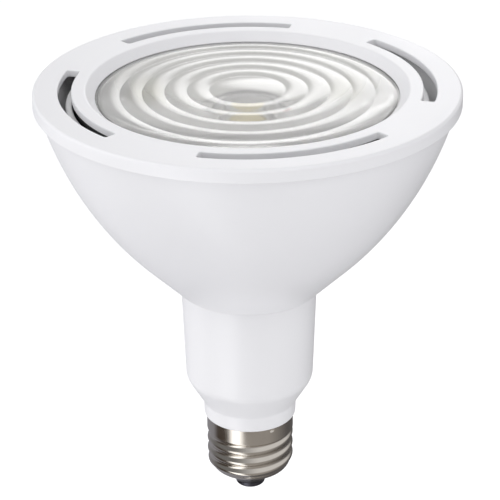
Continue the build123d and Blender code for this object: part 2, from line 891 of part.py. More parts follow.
# Film capacitor: a moulded box.
with BuildPart() as film_capacitor:
    with BuildSketch(front_plane):
        with Locations((-film_cap_offset, input_row)):
            Rectangle(film_cap_width, film_cap_height)
    extrude(amount=film_cap_depth)
    fillet(film_capacitor.edges().group_by(Axis.Y)[-1], cap_edge_round)
save(film_capacitor, "film_capacitor")

# Transformer: a ferrite frame with a centre leg, and the winding round that leg.
window_width = (transformer_side - 2 * transformer_limb - transformer_leg) / 2
window_height = transformer_side - 2 * transformer_limb
window_shift = (transformer_leg + window_width) / 2
with BuildPart() as transformer_core:
    with BuildSketch(front_plane.offset(winding_overhang)):
        with Locations((0, transformer_row)):
            Rectangle(transformer_side, transformer_side)
        with Locations((window_shift, transformer_row), (-window_shift, transformer_row)):
            Rectangle(window_width, window_height, mode=Mode.SUBTRACT)
    extrude(amount=transformer_core_depth)
save(transformer_core, "transformer_core")

winding_width = transformer_leg + 2 * window_width - 2 * winding_fit
winding_depth = transformer_core_depth + 2 * winding_overhang
winding_height = window_height - 2 * winding_fit
winding_foot = driver_foot + transformer_row - winding_height / 2
with BuildPart() as transformer_winding:
    with BuildSketch(Plane.XY.offset(winding_foot)):
        with Locations((0, board_face + winding_depth / 2)):
            RectangleRounded(winding_width, winding_depth, winding_overhang / 2)
            Rectangle(
                transformer_leg + 2 * winding_fit,
                transformer_core_depth + 2 * winding_fit,
                mode=Mode.SUBTRACT,
            )
    extrude(amount=winding_height)
save(transformer_winding, "transformer_winding")

# Bridge rectifier and control chip on the board's back.
with BuildPart() as bridge_rectifier:
    with BuildSketch(back_plane):
        with Locations((0, bridge_row)):
            Rectangle(bridge_width, bridge_height)
    extrude(amount=bridge_depth)
save(bridge_rectifier, "bridge_rectifier")

with BuildPart() as control_chip:
    with BuildSketch(back_plane):
        with Locations((0, chip_row)):
            Rectangle(chip_width, chip_height)
    extrude(amount=chip_depth)
save(control_chip, "control_chip")

# Fusible resistor, standing on the contact's eyelet by its own lead.
fuse_foot = eyelet_top + fuse_lead_length
fuse_top = fuse_foot + fuse_length
with BuildPart() as fuse_resistor:
    with BuildSketch(Plane.XY.offset(fuse_foot)):
        Circle(fuse_radius)
    extrude(amount=fuse_length)
    fillet(fuse_resistor.edges(), cap_edge_round)
    with BuildSketch(Plane.XY.offset(eyelet_top)):
        Circle(fuse_lead_radius)
    extrude(amount=2 * fuse_lead_length + fuse_length)
save(fuse_resistor, "fuse_resistor")

# Supply wires, from the fuse and from the shell's wall up to the board.
live_foot = fuse_top + fuse_lead_length
board_landing = driver_foot + wire_landing
live_wire = wire_tube(
    [
        (0, 0, live_foot),
        (0, 0, live_foot + wire_landing),
        (-wire_spread, wire_depth, driver_foot - wire_landing / 2),
        (-wire_spread, wire_depth, board_landing),
    ]
)
save(live_wire, "live_wire")

spigot_wire_radius = spigot_bore_radius - wire_radius - wire_fit
shell_wire_height = (spigot_foot + insulator_top) / 2
neutral_wire = wire_tube(
    [
        (root_bore_radius - wire_seat, 0, shell_wire_height),
        (spigot_wire_radius, 0, shell_wire_height),
        (spigot_wire_radius, 0, cap_height),
        (wire_spread, wire_depth, driver_foot - wire_landing / 2),
        (wire_spread, wire_depth, board_landing),
    ]
)
save(neutral_wire, "neutral_wire")

# Output wires, from the board's upper end through the cover and the floor to the LED board's pads.
led_pad_radius = led_board_side / 2 - 2 * wire_radius
for side, name in ((1, "output_wire_positive"), (-1, "output_wire_negative")):
    output_wire = wire_tube(
        [
            (side * wire_spread, wire_depth, driver_top - wire_landing),
            (side * wire_spread, wire_depth, cover_top + wire_bend),
            (side * wire_hole_offset, 0, sink_floor_foot - wire_bend),
            (side * wire_hole_offset, 0, led_wire_height),
            (side * led_pad_radius, 0, led_wire_height),
        ]
    )
    save(output_wire, name)
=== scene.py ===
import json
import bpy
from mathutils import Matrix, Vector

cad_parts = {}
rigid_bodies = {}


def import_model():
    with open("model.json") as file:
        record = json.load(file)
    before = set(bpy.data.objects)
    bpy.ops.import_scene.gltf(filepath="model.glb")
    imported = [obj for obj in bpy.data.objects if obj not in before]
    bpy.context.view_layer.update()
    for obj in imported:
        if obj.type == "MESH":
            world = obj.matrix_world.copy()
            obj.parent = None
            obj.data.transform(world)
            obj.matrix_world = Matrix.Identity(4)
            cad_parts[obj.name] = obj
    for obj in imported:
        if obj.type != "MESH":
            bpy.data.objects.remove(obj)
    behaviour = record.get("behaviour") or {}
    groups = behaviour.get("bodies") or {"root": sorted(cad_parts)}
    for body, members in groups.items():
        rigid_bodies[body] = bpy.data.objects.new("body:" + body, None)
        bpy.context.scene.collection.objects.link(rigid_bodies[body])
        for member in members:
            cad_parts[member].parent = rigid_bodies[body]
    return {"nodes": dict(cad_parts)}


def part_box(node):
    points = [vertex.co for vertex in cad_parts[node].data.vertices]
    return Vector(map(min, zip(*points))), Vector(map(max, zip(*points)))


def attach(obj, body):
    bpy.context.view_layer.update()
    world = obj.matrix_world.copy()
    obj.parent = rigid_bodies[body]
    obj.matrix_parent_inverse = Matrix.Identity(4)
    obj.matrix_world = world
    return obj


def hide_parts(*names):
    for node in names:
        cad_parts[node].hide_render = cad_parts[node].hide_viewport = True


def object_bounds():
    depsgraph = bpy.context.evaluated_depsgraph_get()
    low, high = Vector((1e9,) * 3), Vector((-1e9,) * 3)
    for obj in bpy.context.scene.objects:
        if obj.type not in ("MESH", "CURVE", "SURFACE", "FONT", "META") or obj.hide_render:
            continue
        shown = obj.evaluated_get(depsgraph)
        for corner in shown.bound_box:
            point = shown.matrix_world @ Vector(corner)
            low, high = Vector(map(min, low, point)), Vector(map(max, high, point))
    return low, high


bl_info = {
    "name": "Reflector lamp",
    "version": (1, 0, 0),
    "blender": (4, 5, 0),
    "location": "View3D > Sidebar > Lamp",
    "description": "Dresses a screw-base reflector lamp and sets a plain pale studio round it",
    "category": "Object",
}

from cmath import phase, rect
from math import asin, atan2, cos, hypot, pi, radians, sin, sqrt, tan

import bmesh
import bpy
from bpy.props import FloatProperty, FloatVectorProperty, IntProperty, PointerProperty
from bpy.types import Operator, Panel, PropertyGroup
from mathutils import Euler, Vector
from mathutils.geometry import delaunay_2d_cdt

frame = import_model()
cad_low, cad_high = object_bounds()

FACE_HEIGHT = round(cad_high.z, 5)
AROUND = 288
SHARP_ANGLE = radians(38)
BODY = "root"

# Middle and half size of the painted shade on the lens: two dark ovals that stand in for dark refractions at
# its sides
PAINTED_SHADE_PLACE = (0.0285, 0.001)
PAINTED_SHADE_REACH = (0.006, 0.013)


# Properties


def length(name, description, default):
    """A size in metres, shown in the scene's unit."""
    return FloatProperty(
        name=name, description=description, default=default, min=0.0, unit="LENGTH", precision=5
    )


def colour(name, description, default):
    """A plain linear colour."""
    return FloatVectorProperty(
        name=name, description=description, default=default, size=3, min=0.0, max=1.0, subtype="COLOR"
    )


class LampRingSizes(PropertyGroup):
    radius: length("Radius", "Outside of the front ring's skirt", 0.0607)
    skirt: length("Skirt height", "From the flat face down to the skirt's foot", 0.0041)
    plate: length("Plate thickness", "Thickness of the slotted plate", 0.002)
    wall: length("Skirt wall", "Thickness of the skirt and the lip", 0.0014)
    edge: length("Outer edge round", "Round between the face and the skirt", 0.0009)
    window: length("Window radius", "Where the face turns down towards the lens", 0.0458)
    window_edge: length("Window edge round", "Round between the face and the lip", 0.0012)
    lip_depth: length("Lip depth", "From the face to the lip's foot", 0.0028)
    lip_end: length("Lip radius", "Inside of the lip at its foot", 0.0426)
    slot_inner: length("Slot inner radius", "Inner wall of the air slots", 0.0497)
    slot_width: length("Slot width", "Across one air slot", 0.0038)
    slot_corner: length("Slot corner", "Corner radius in plan", 0.0007)
    slot_edge: length("Slot edge round", "Round along the slot's upper edge", 0.00035)
    slot_count: IntProperty(name="Slots", description="Air slots round the ring", default=4, min=1)
    slot_span: FloatProperty(
        name="Slot span", description="Angle of one slot", default=radians(59.5), subtype="ANGLE"
    )
    slot_middle: FloatProperty(
        name="First slot", description="Middle of the first slot", default=radians(15), subtype="ANGLE"
    )
    foot_edge: length("Foot round", "Rounds of the skirt's and the lip's feet", 0.0003)


class LampCupSizes(PropertyGroup):
    wall: length("Wall", "Thickness of the cup", 0.0018)
    depth: length("Depth", "From the face down to the cup's lower rim", 0.0621)
    rim: length("Rim radius", "Outside of the lower rim", 0.021)
    rim_edge: length("Rim round", "Round of the lower rim's edge", 0.0005)
    cone_top: length("Cone top radius", "Where the straight cone runs into the arc", 0.032)
    cone_angle: FloatProperty(
        name="Cone angle", description="Slope of the cone from level", default=radians(45), subtype="ANGLE"
    )
    shoulder_gap: length("Shoulder gap", "Between the cup's shoulder and the skirt", 0.00015)
    inner_gap: length("Inner wall gap", "Between the heat sink and the inner wall", 0.0005)
    inner_wall: length("Inner wall", "Thickness of the wall below the slots", 0.0019)
    inner_drop: length("Inner wall drop", "From the face down to the inner wall's top", 0.00405)
    inner_edge: length("Inner wall round", "Round of the inner wall's top edges", 0.0004)
    rib: length("Rib thickness", "Ribs across the inner wall", 0.0016)
    rib_drop: length("Rib drop", "How far the ribs run below the inner wall's foot", 0.0005)
    rib_gap: length("Rib gap", "Between the heat sink and the ribs", 0.0002)


class LampNeckSizes(PropertyGroup):
    top: length("Top radius", "At the cup's rim", 0.01995)
    bottom: length("Bottom radius", "Where the taper starts", 0.0189)
    taper_round: length("Taper round", "Round between neck and taper", 0.006)
    collar_top: length("Collar top radius", "Where the taper meets the collar", 0.0139)
    collar_bottom: length("Collar bottom radius", "At the screw shell", 0.0136)
    collar: length("Collar height", "Height of the collar", 0.0049)
    taper: length("Taper height", "Height of the taper", 0.0083)
    cap: length("Cap height", "From the contact's tip to the collar", 0.0255)
    wall: length("Wall", "Thickness of the sleeve", 0.0016)
    bore_gap: length("Bore gap", "Between the sleeve and the cup's bore", 0.00015)
    spigot: length("Spigot radius", "Plain tube inside the shell", 0.01175)
    land: length("Land radius", "Short land that the shell is crimped to", 0.01245)
    land_foot: length("Land foot", "From the collar down to the land's foot", 0.0028)
    tube: length("Tube wall", "Thickness of the spigot", 0.002)
    flange: length("Flange height", "Flange that the sleeve hangs by in the cup", 0.003)
    lip: length("Lip radius", "Inside of the flange's top", 0.017)


class LampBaseSizes(PropertyGroup):
    radius: length("Shell radius", "Outside of the plain band", 0.013)
    wall: length("Shell wall", "Thickness of the sheet", 0.00045)
    band: length("Band height", "Height of the plain band", 0.0049)
    root: length("Root radius", "Outside of the shell between the threads", 0.0123)
    depth: length("Thread depth", "From root to crest", 0.00065)
    pitch: length("Pitch", "Seven turns to the inch", 0.0254 / 7)
    foot: length("Foot height", "Lower edge of the shell", 0.0067)
    foot_radius: length("Foot radius", "Opening at the shell's foot", 0.0088)
    foot_round: length("Foot round", "Height of the rounded foot", 0.0040)
    thread_foot: length("Thread start", "Height where the ridge starts", 0.0088)
    cone: length("Cone foot radius", "Foot of the insulator's cone", 0.0047)
    cone_foot: length("Cone foot height", "Height of the insulator's foot", 0.0025)
    contact: length("Contact radius", "Radius of the centre contact", 0.0044)
    contact_edge: length("Contact edge", "Thickness of the contact at its edge", 0.0009)
    pin: length("Pin radius", "Pin that joins the contact to the insulator", 0.0013)
    punch: length("Punch drop", "From the collar down to the punch marks", 0.0006)


class LampLensSizes(PropertyGroup):
    radius: length("Radius", "Outside of the optic inside the lip", 0.0425)
    base: length("Base depth", "From the face down to the optic's rim", 0.0025)
    crown: length("Crown rise", "Height of the low crown that carries the rings", 0.0014)
    dome: length("Dome radius", "Radius of the centre dome", 0.0108)
    dome_rise: length("Dome rise", "Height of the centre dome over the crown", 0.00095)
    rings: IntProperty(name="Rings", description="Rounded rings round the dome", default=5, min=1)
    ring_rise: length("Ring rise", "Height of one ring over the crown", 0.00036)
    ring_root: length("Ring root", "Round at the foot of the rings", 0.00035)
    flange: length("Flange radius", "Flange under the lip", 0.0465)
    flange_height: length("Flange thickness", "Thickness of the flange", 0.002)
    tail: length("Tail radius", "Foot of the bowl-shaped underside", 0.012)
    cavity: length("Cavity radius", "Hollow over the light source", 0.0092)
    cavity_depth: length("Cavity depth", "Depth of that hollow", 0.0046)
    sag: length("Underside sag", "How far the underside bulges below its chord", 0.0022)


class LampSinkSizes(PropertyGroup):
    gap: length("Gap", "Between the heat sink and the cup", 0.0011)
    floor: length("Floor", "Thickness of the floor under the board", 0.0035)
    wall: length("Wall", "Thickness of the upper wall and the hub", 0.0022)
    ledge: length("Ledge width", "Ledge that the lens holder stands on", 0.0016)
    ledge_drop: length("Ledge drop", "From the holder's top down to the ledge", 0.0012)
    hub: length("Hub radius", "Bore of the hub round the driver's cover", 0.0182)
    fin: length("Fin thickness", "Thickness of one fin", 0.0016)
    fins: IntProperty(name="Fins", description="Fins round the hub", default=24, min=1)


class LampFinish(PropertyGroup):
    white: colour("White plastic", "Ring, cup and neck", (0.87, 0.868, 0.885))
    # Painted light: a lighter white inside the cup, lifting the shade in the pocket under the slots
    inside_painted_light: colour("Inside painted light", "Painted light inside the cup", (0.97, 0.97, 0.975))
    nickel: colour("Nickel", "Screw shell", (0.66, 0.62, 0.57))
    lens: colour("Lens", "Clear optic", (0.96, 0.955, 0.945))
    # Painted shade: the colour of two dark ovals on the optic, standing in for dark refractions
    lens_painted_shade: colour("Lens painted shade", "Faint ovals at the optic's sides", (0.86, 0.85, 0.79))
    # Painted shade, in part: the heat sink is real, but its near-black colour stands in for the deep shade
    # seen through the slots
    sink: colour("Heat sink", "Near-black aluminium, painted shade", (0.012, 0.012, 0.014))
    insulator: colour("Insulator", "Black moulding", (0.012, 0.012, 0.013))


# Outlines in the plane of the axis, each point a radius and a height


def oval(x, y, across, up, start, stop, steps):
    """Points on a round or oval arc about a centre."""
    turns = [start + (stop - start) * i / steps for i in range(steps + 1)]
    return [(x + across * cos(turn), y + up * sin(turn)) for turn in turns]


def bend(corner, before, after, radius, steps):
    """Points of a round of that radius at a corner between two neighbours."""
    if radius <= 0:
        return [corner]
    c, a, b = Vector(corner), Vector(before), Vector(after)
    u, v = (a - c).normalized(), (b - c).normalized()
    half = u.angle(v) / 2
    reach = min(radius / tan(half), (a - c).length * 0.98, (b - c).length * 0.98)
    radius = reach * tan(half)
    middle = c + (u + v).normalized() * (radius / sin(half))
    start, end = c + u * reach - middle, c + v * reach - middle
    first = atan2(start.y, start.x)
    return oval(middle.x, middle.y, radius, radius, first, first - start.angle_signed(end), steps)


def rounded(*corners, steps=8, closed=True):
    """A path whose corners, each a radius, a height and the size of its round, are rounded."""
    points = []
    count = len(corners)
    for i, (x, z, *more) in enumerate(corners):
        size = more[0] if more else 0.0
        if not closed and i in (0, count - 1):
            size = 0.0
        before = corners[i - 1][:2]
        after = corners[(i + 1) % count][:2]
        points += bend((x, z), before, after, size, steps)
    return points


def divided(points, step):
    """The same path with its long runs divided."""
    made = [points[0]]
    for a, b in zip(points, points[1:]):
        parts = max(1, round(hypot(b[0] - a[0], b[1] - a[1]) / step))
        for i in range(1, parts + 1):
            made.append((a[0] + (b[0] - a[0]) * i / parts, a[1] + (b[1] - a[1]) * i / parts))
    return made


def arc_through(start, middle, end, steps):
    """Points of the arc, of less than half a turn, through three points."""
    a, b, c = complex(*start), complex(*middle), complex(*end)
    ratio = (c - a) / (b - a)
    centre = a + (b - a) * (ratio - abs(ratio) ** 2) / (2j * ratio.imag)
    turn = phase((c - centre) / (a - centre))
    points = [centre + (a - centre) * rect(1, turn * i / steps) for i in range(steps + 1)]
    return [(point.real, point.imag) for point in points]


class CupLine:
    """The cup's outside: a straight cone that runs tangent into one long arc up to the shoulder."""

    def __init__(self, cup, ring):
        self.rim = (cup.rim, FACE_HEIGHT - cup.depth)
        self.shoulder = (ring.radius - ring.wall - cup.shoulder_gap, FACE_HEIGHT - ring.skirt)
        self.sin, self.cos = sin(cup.cone_angle), cos(cup.cone_angle)
        join_height = self.rim[1] + (cup.cone_top - cup.rim) * self.sin / self.cos
        run = self.shoulder[0] - cup.cone_top
        rise = self.shoulder[1] - join_height
        self.reach = (run**2 + rise**2) / (2 * (rise * self.sin - run * self.cos))
        self.centre = (cup.cone_top - self.reach * self.cos, join_height + self.reach * self.sin)

    def radius(self, height, inset=0.0):
        reach = self.reach - inset
        join = (self.centre[0] + reach * self.cos, self.centre[1] - reach * self.sin)
        if height < join[1]:
            return join[0] - (join[1] - height) * self.cos / self.sin
        return self.centre[0] + sqrt(reach**2 - (height - self.centre[1]) ** 2)

    def height(self, radius, inset=0.0):
        """Height at which the arc reaches a radius."""
        return self.centre[1] - sqrt((self.reach - inset) ** 2 - (radius - self.centre[0]) ** 2)

    def points(self, inset, low, high, steps=64):
        heights = [low + (high - low) * i / steps for i in range(steps + 1)]
        return [(self.radius(h, inset), h) for h in heights]


# Meshes


def new_piece(name, mesh):
    obj = bpy.data.objects.new(name, mesh)
    bpy.context.collection.objects.link(obj)
    return obj


def shade(mesh):
    mesh.shade_smooth()
    mesh.set_sharp_from_angle(angle=SHARP_ANGLE)


def finish_bmesh(bm, name):
    bmesh.ops.remove_doubles(bm, verts=bm.verts, dist=2e-7)
    bmesh.ops.recalc_face_normals(bm, faces=bm.faces)
    mesh = bpy.data.meshes.new(name)
    bm.to_mesh(mesh)
    bm.free()
    shade(mesh)
    return mesh


def turn_strip(bm, path, closed, steps=AROUND):
    """Turns a path about the axis into bm; a point on the axis becomes one vertex."""
    rings = []
    for r, z in path:
        around = oval(0, 0, r, r, 0, 2 * pi, steps)[:-1] if r > 1e-7 else [(0, 0)]
        rings.append([bm.verts.new((x, y, z)) for x, y in around])
    pairs = list(zip(rings, rings[1:]))
    if closed:
        pairs.append((rings[-1], rings[0]))
    for low, high in pairs:
        for i in range(steps):
            j = (i + 1) % steps
            ends = (low[i % len(low)], low[j % len(low)], high[j % len(high)], high[i % len(high)])
            corners = list(dict.fromkeys(ends))
            if len(corners) > 2:
                bm.faces.new(corners)


def turned(name, path, closed=True, steps=AROUND):
    """A solid of revolution."""
    bm = bmesh.new()
    turn_strip(bm, path, closed, steps)
    return new_piece(name, finish_bmesh(bm, name))


def slab(name, outline, thickness):
    """A plate with that outline of radius and height, upright in the XZ plane."""
    bm = bmesh.new()
    sides = [[bm.verts.new((x, y, z)) for x, z in outline] for y in (-thickness / 2, thickness / 2)]
    bm.faces.new(sides[0])
    bm.faces.new(sides[1][::-1])
    for i in range(len(outline)):
        j = (i + 1) % len(outline)
        bm.faces.new((sides[0][i], sides[0][j], sides[1][j], sides[1][i]))
    return new_piece(name, finish_bmesh(bm, name))


def plain_mesh(obj):
    """Makes the modifiers' result the object's own mesh and removes them."""
    graph = bpy.context.evaluated_depsgraph_get()
    mesh = bpy.data.meshes.new_from_object(obj.evaluated_get(graph))
    obj.modifiers.clear()
    obj.data = mesh
    return mesh


def joined(name, objects):
    """One object from several, all in their own places."""
    bm = bmesh.new()
    for obj in objects:
        bm.from_mesh(obj.data)
        bpy.data.objects.remove(obj)
    mesh = bpy.data.meshes.new(name)
    bm.to_mesh(mesh)
    bm.free()
    shade(mesh)
    return new_piece(name, mesh)


def seat(obj, node, material):
    """Gives a finished piece its material, body and slot, and hides the solid that it stands for."""
    obj.data.materials.clear()
    obj.data.materials.append(material)
    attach(obj, BODY)
    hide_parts(node)
    return obj


# Node trees


class Tree:
    """Short calls for building a node tree."""

    def __init__(self, tree):
        self.tree = tree

    def add(self, kind, inputs=None, **settings):
        node = self.tree.nodes.new(kind)
        for key, value in settings.items():
            setattr(node, key, value)
        for key, value in (inputs or {}).items():
            if isinstance(value, bpy.types.NodeSocket):
                self.tree.links.new(value, node.inputs[key])
            else:
                node.inputs[key].default_value = value
        return node

    def math(self, operation, *values):
        return self.add("ShaderNodeMath", dict(enumerate(values)), operation=operation).outputs[0]

    def hypot(self, a, b):
        return self.math("SQRT", self.math("ADD", self.math("MULTIPLY", a, a), self.math("MULTIPLY", b, b)))

    def span(self, value, start, end, low=0.0, high=1.0, kind="LINEAR"):
        """Maps start..end to low..high and holds it there."""
        limits = {"Value": value, "From Min": start, "From Max": end, "To Min": low, "To Max": high}
        return self.add("ShaderNodeMapRange", limits, interpolation_type=kind).outputs[0]

    def mix(self, factor, a, b):
        """Blends two colours."""
        node = self.add("ShaderNodeMix", {"Factor": factor, "A": a, "B": b}, data_type="RGBA")
        return node.outputs["Result"]

    def xyz(self, vector):
        return self.add("ShaderNodeSeparateXYZ", {0: vector}).outputs

    def place(self):
        """Object coordinates."""
        return self.add("ShaderNodeTexCoord").outputs["Object"]

    def link(self, a, b):
        self.tree.links.new(a, b)


def geometry_tree(name, inputs):
    """A geometry tree with a geometry in and out and the named inputs; returns it with its input node."""
    tree = bpy.data.node_groups.new(name, "GeometryNodeTree")
    tree.is_modifier = True
    tree.interface.new_socket("Geometry", in_out="OUTPUT", socket_type="NodeSocketGeometry")
    tree.interface.new_socket("Geometry", in_out="INPUT", socket_type="NodeSocketGeometry")
    kinds = {int: "NodeSocketInt", float: "NodeSocketFloat"}
    for label, default in inputs.items():
        kind = kinds.get(type(default), "NodeSocketMaterial")
        socket = tree.interface.new_socket(label, in_out="INPUT", socket_type=kind)
        if default is not None:
            socket.default_value = default
    build = Tree(tree)
    return build, build.add("NodeGroupInput").outputs


def end_tree(build, geometry, material):
    """Ends a tree in Realize Instances and Set Material."""
    real = build.add("GeometryNodeRealizeInstances", {"Geometry": geometry}).outputs[0]
    painted = build.add("GeometryNodeSetMaterial", {"Geometry": real, "Material": material})
    build.link(painted.outputs[0], build.add("NodeGroupOutput").inputs[0])
    return build.tree


def apply_tree(obj, tree, values):
    """Runs a tree on an object with its inputs set by identifier, and keeps the result as plain mesh."""
    modifier = obj.modifiers.new(tree.name, "NODES")
    modifier.node_group = tree
    for item in tree.interface.items_tree:
        if item.item_type == "SOCKET" and item.in_out == "INPUT" and item.name in values:
            modifier[item.identifier] = values[item.name]
    obj.update_tag()
    return plain_mesh(obj)


def spokes_tree():
    """Repeats the given geometry round the axis."""
    inputs = {"Count": 4, "First angle": 0.0, "Material": None}
    build, given = geometry_tree("Spokes round the axis", inputs)
    points = build.add("GeometryNodePoints", {"Count": given["Count"]})
    index = build.add("GeometryNodeInputIndex").outputs[0]
    step = build.math("DIVIDE", 2 * pi, given["Count"])
    angle = build.math("ADD", build.math("MULTIPLY", index, step), given["First angle"])
    euler = build.add("ShaderNodeCombineXYZ", {"Z": angle}).outputs[0]
    turn = build.add("FunctionNodeEulerToRotation", {0: euler}).outputs[0]
    copies = build.add(
        "GeometryNodeInstanceOnPoints",
        {"Points": points.outputs[0], "Instance": given["Geometry"], "Rotation": turn},
    )
    return end_tree(build, copies.outputs[0], given["Material"])


def thread_tree():
    """Raises a rolled knuckle thread on a turned shell, with punch marks in its plain band."""
    inputs = {"Pitch": 0.0036, "Depth": 0.0006, "Root radius": 0.0123, "Start height": 0.0081}
    inputs |= {"Start angle": pi / 2, "Fade": 0.0018, "Punch height": 0.0249, "Punch angle": radians(300)}
    inputs |= {"Punch count": 3.0, "Punch size": 0.0008, "Punch depth": 0.0005, "Material": None}
    build, given = geometry_tree("Rolled thread", inputs)
    parts = build.xyz(build.add("GeometryNodeInputPosition").outputs[0])
    theta = build.math("ARCTAN2", parts["Y"], parts["X"])
    flat = build.add("ShaderNodeCombineXYZ", {"X": parts["X"], "Y": parts["Y"]}).outputs[0]
    radius = build.add("ShaderNodeVectorMath", {0: flat}, operation="LENGTH").outputs["Value"]
    outward = build.add("ShaderNodeVectorMath", {0: flat}, operation="NORMALIZE").outputs[0]

    # The ridge climbs one pitch in one turn, right-handed.
    turn = build.math("DIVIDE", build.math("SUBTRACT", theta, given["Start angle"]), 2 * pi)
    climb = build.math("DIVIDE", build.math("SUBTRACT", parts["Z"], given["Start height"]), given["Pitch"])
    cycle = build.math("MULTIPLY", build.math("SUBTRACT", climb, turn), 2 * pi)
    wave = build.math("MULTIPLY_ADD", build.math("COSINE", cycle), 0.5, 0.5)
    ridge = build.math("MULTIPLY", wave, given["Depth"])
    over = build.math("MAXIMUM", build.math("SUBTRACT", radius, given["Root radius"]), 0.0)
    stand = build.math("MAXIMUM", build.math("SUBTRACT", ridge, over), 0.0)
    fade_start = build.math("MULTIPLY_ADD", given["Fade"], -0.5, given["Start height"])
    fade_end = build.math("ADD", given["Start height"], given["Fade"])
    fade = build.span(parts["Z"], fade_start, fade_end, kind="SMOOTHSTEP")
    raised = build.math("MULTIPLY", stand, fade)

    # Punch marks are round dents that repeat round the band.
    share = build.math("DIVIDE", 2 * pi, given["Punch count"])
    away = build.math("SUBTRACT", theta, given["Punch angle"])
    half = build.math("MULTIPLY", share, 0.5)
    near = build.math("SUBTRACT", build.math("FLOORED_MODULO", build.math("ADD", away, half), share), half)
    side = build.math("MULTIPLY", near, radius)
    rise = build.math("SUBTRACT", parts["Z"], given["Punch height"])
    gap = build.math("DIVIDE", build.hypot(side, rise), given["Punch size"])
    dent = build.span(gap, 1.0, 0.35, 0.0, given["Punch depth"], "SMOOTHSTEP")

    move = build.math("SUBTRACT", raised, dent)
    offset = build.add("ShaderNodeVectorMath", {0: outward, "Scale": move}, operation="SCALE").outputs[0]
    placed = build.add("GeometryNodeSetPosition", {"Geometry": given["Geometry"], "Offset": offset})
    return end_tree(build, placed.outputs[0], given["Material"])


# Materials


def shader(name):
    """A new material; returns it, its tree and its surface shader."""
    material = bpy.data.materials.new(name)
    material.use_nodes = True
    build = Tree(material.node_tree)
    return material, build, build.tree.nodes["Principled BSDF"]


def object_noise(build, scale, detail=3.0, roughness=0.55, stretch=(1, 1, 1)):
    """Noise on Object coordinates, stretched along the axes."""
    mapped = build.add("ShaderNodeMapping", {"Vector": build.place(), "Scale": stretch}).outputs[0]
    settings = {"Vector": mapped, "Scale": scale, "Detail": detail, "Roughness": roughness}
    return build.add("ShaderNodeTexNoise", settings).outputs[0]


def tinted(build, base, amount, mask):
    """The base colour, lighter and darker by a mask."""
    low = [c * (1 - amount) for c in base[:3]] + [1.0]
    high = [min(1.0, c * (1 + amount)) for c in base[:3]] + [1.0]
    return build.mix(mask, low, high)


def set_sockets(surface, values):
    for key, value in values.items():
        surface.inputs[key].default_value = value


def bumped(build, surface, height, strength, distance):
    bump = build.add("ShaderNodeBump", {"Height": height, "Strength": strength, "Distance": distance})
    build.link(bump.outputs[0], surface.inputs["Normal"])


def ranged(build, noise, low, high):
    """Spreads noise over a range; most of it lies between 0.3 and 0.7."""
    return build.span(noise, 0.3, 0.7, low, high)


def moulded(name, base, roughness=0.34, tint=0.012, grain=1500.0, strength=0.05):
    """Injection-moulded plastic: faint mottle, fine orange peel and a little unevenness in the gloss."""
    material, build, surface = shader(name)
    cloud = object_noise(build, 35.0, detail=2.0)
    build.link(tinted(build, base, tint, cloud), surface.inputs["Base Color"])
    peel = object_noise(build, grain, detail=2.0)
    bumped(build, surface, peel, strength, 0.00005)
    build.link(ranged(build, cloud, roughness * 0.9, roughness * 1.12), surface.inputs["Roughness"])
    surface.inputs["IOR"].default_value = 1.5
    return material


def painted_light_inside(material, tone, line, wall):
    """Paints light on the inside of the cup's wall: a lighter tone of its own lifts the shade in the pocket
    under the slots. The inside is found by the distance from the centre of the cup's arc.
    """
    build = Tree(material.node_tree)
    colour_in = build.tree.nodes["Principled BSDF"].inputs["Base Color"]
    parts = build.xyz(build.place())
    out = build.math("SUBTRACT", build.hypot(parts["X"], parts["Y"]), line.centre[0])
    up = build.math("SUBTRACT", parts["Z"], line.centre[1])
    within = build.math("LESS_THAN", build.hypot(out, up), line.reach - wall / 2)
    build.link(build.mix(within, colour_in.links[0].from_socket, (*tone, 1.0)), colour_in)


def rolled_nickel(name, base):
    """Nickel-plated sheet with fine lines round the axis and soft warm stains."""
    material, build, surface = shader(name)
    stain = object_noise(build, 210.0, detail=4.0)
    build.link(tinted(build, base, 0.07, stain), surface.inputs["Base Color"])
    lines = object_noise(build, 160.0, detail=5.0, roughness=0.7, stretch=(0.5, 0.5, 26))
    bumped(build, surface, lines, 0.12, 0.00006)
    build.link(ranged(build, stain, 0.14, 0.26), surface.inputs["Roughness"])
    surface.inputs["Metallic"].default_value = 1.0
    return material


def brushed_metal(name, base, roughness=0.35, scale=900.0, metallic=1.0):
    material, build, surface = shader(name)
    fine = object_noise(build, scale, detail=4.0)
    build.link(tinted(build, base, 0.1, fine), surface.inputs["Base Color"])
    build.link(ranged(build, fine, roughness * 0.8, roughness * 1.2), surface.inputs["Roughness"])
    bumped(build, surface, fine, 0.15, 0.00004)
    surface.inputs["Metallic"].default_value = metallic
    return material


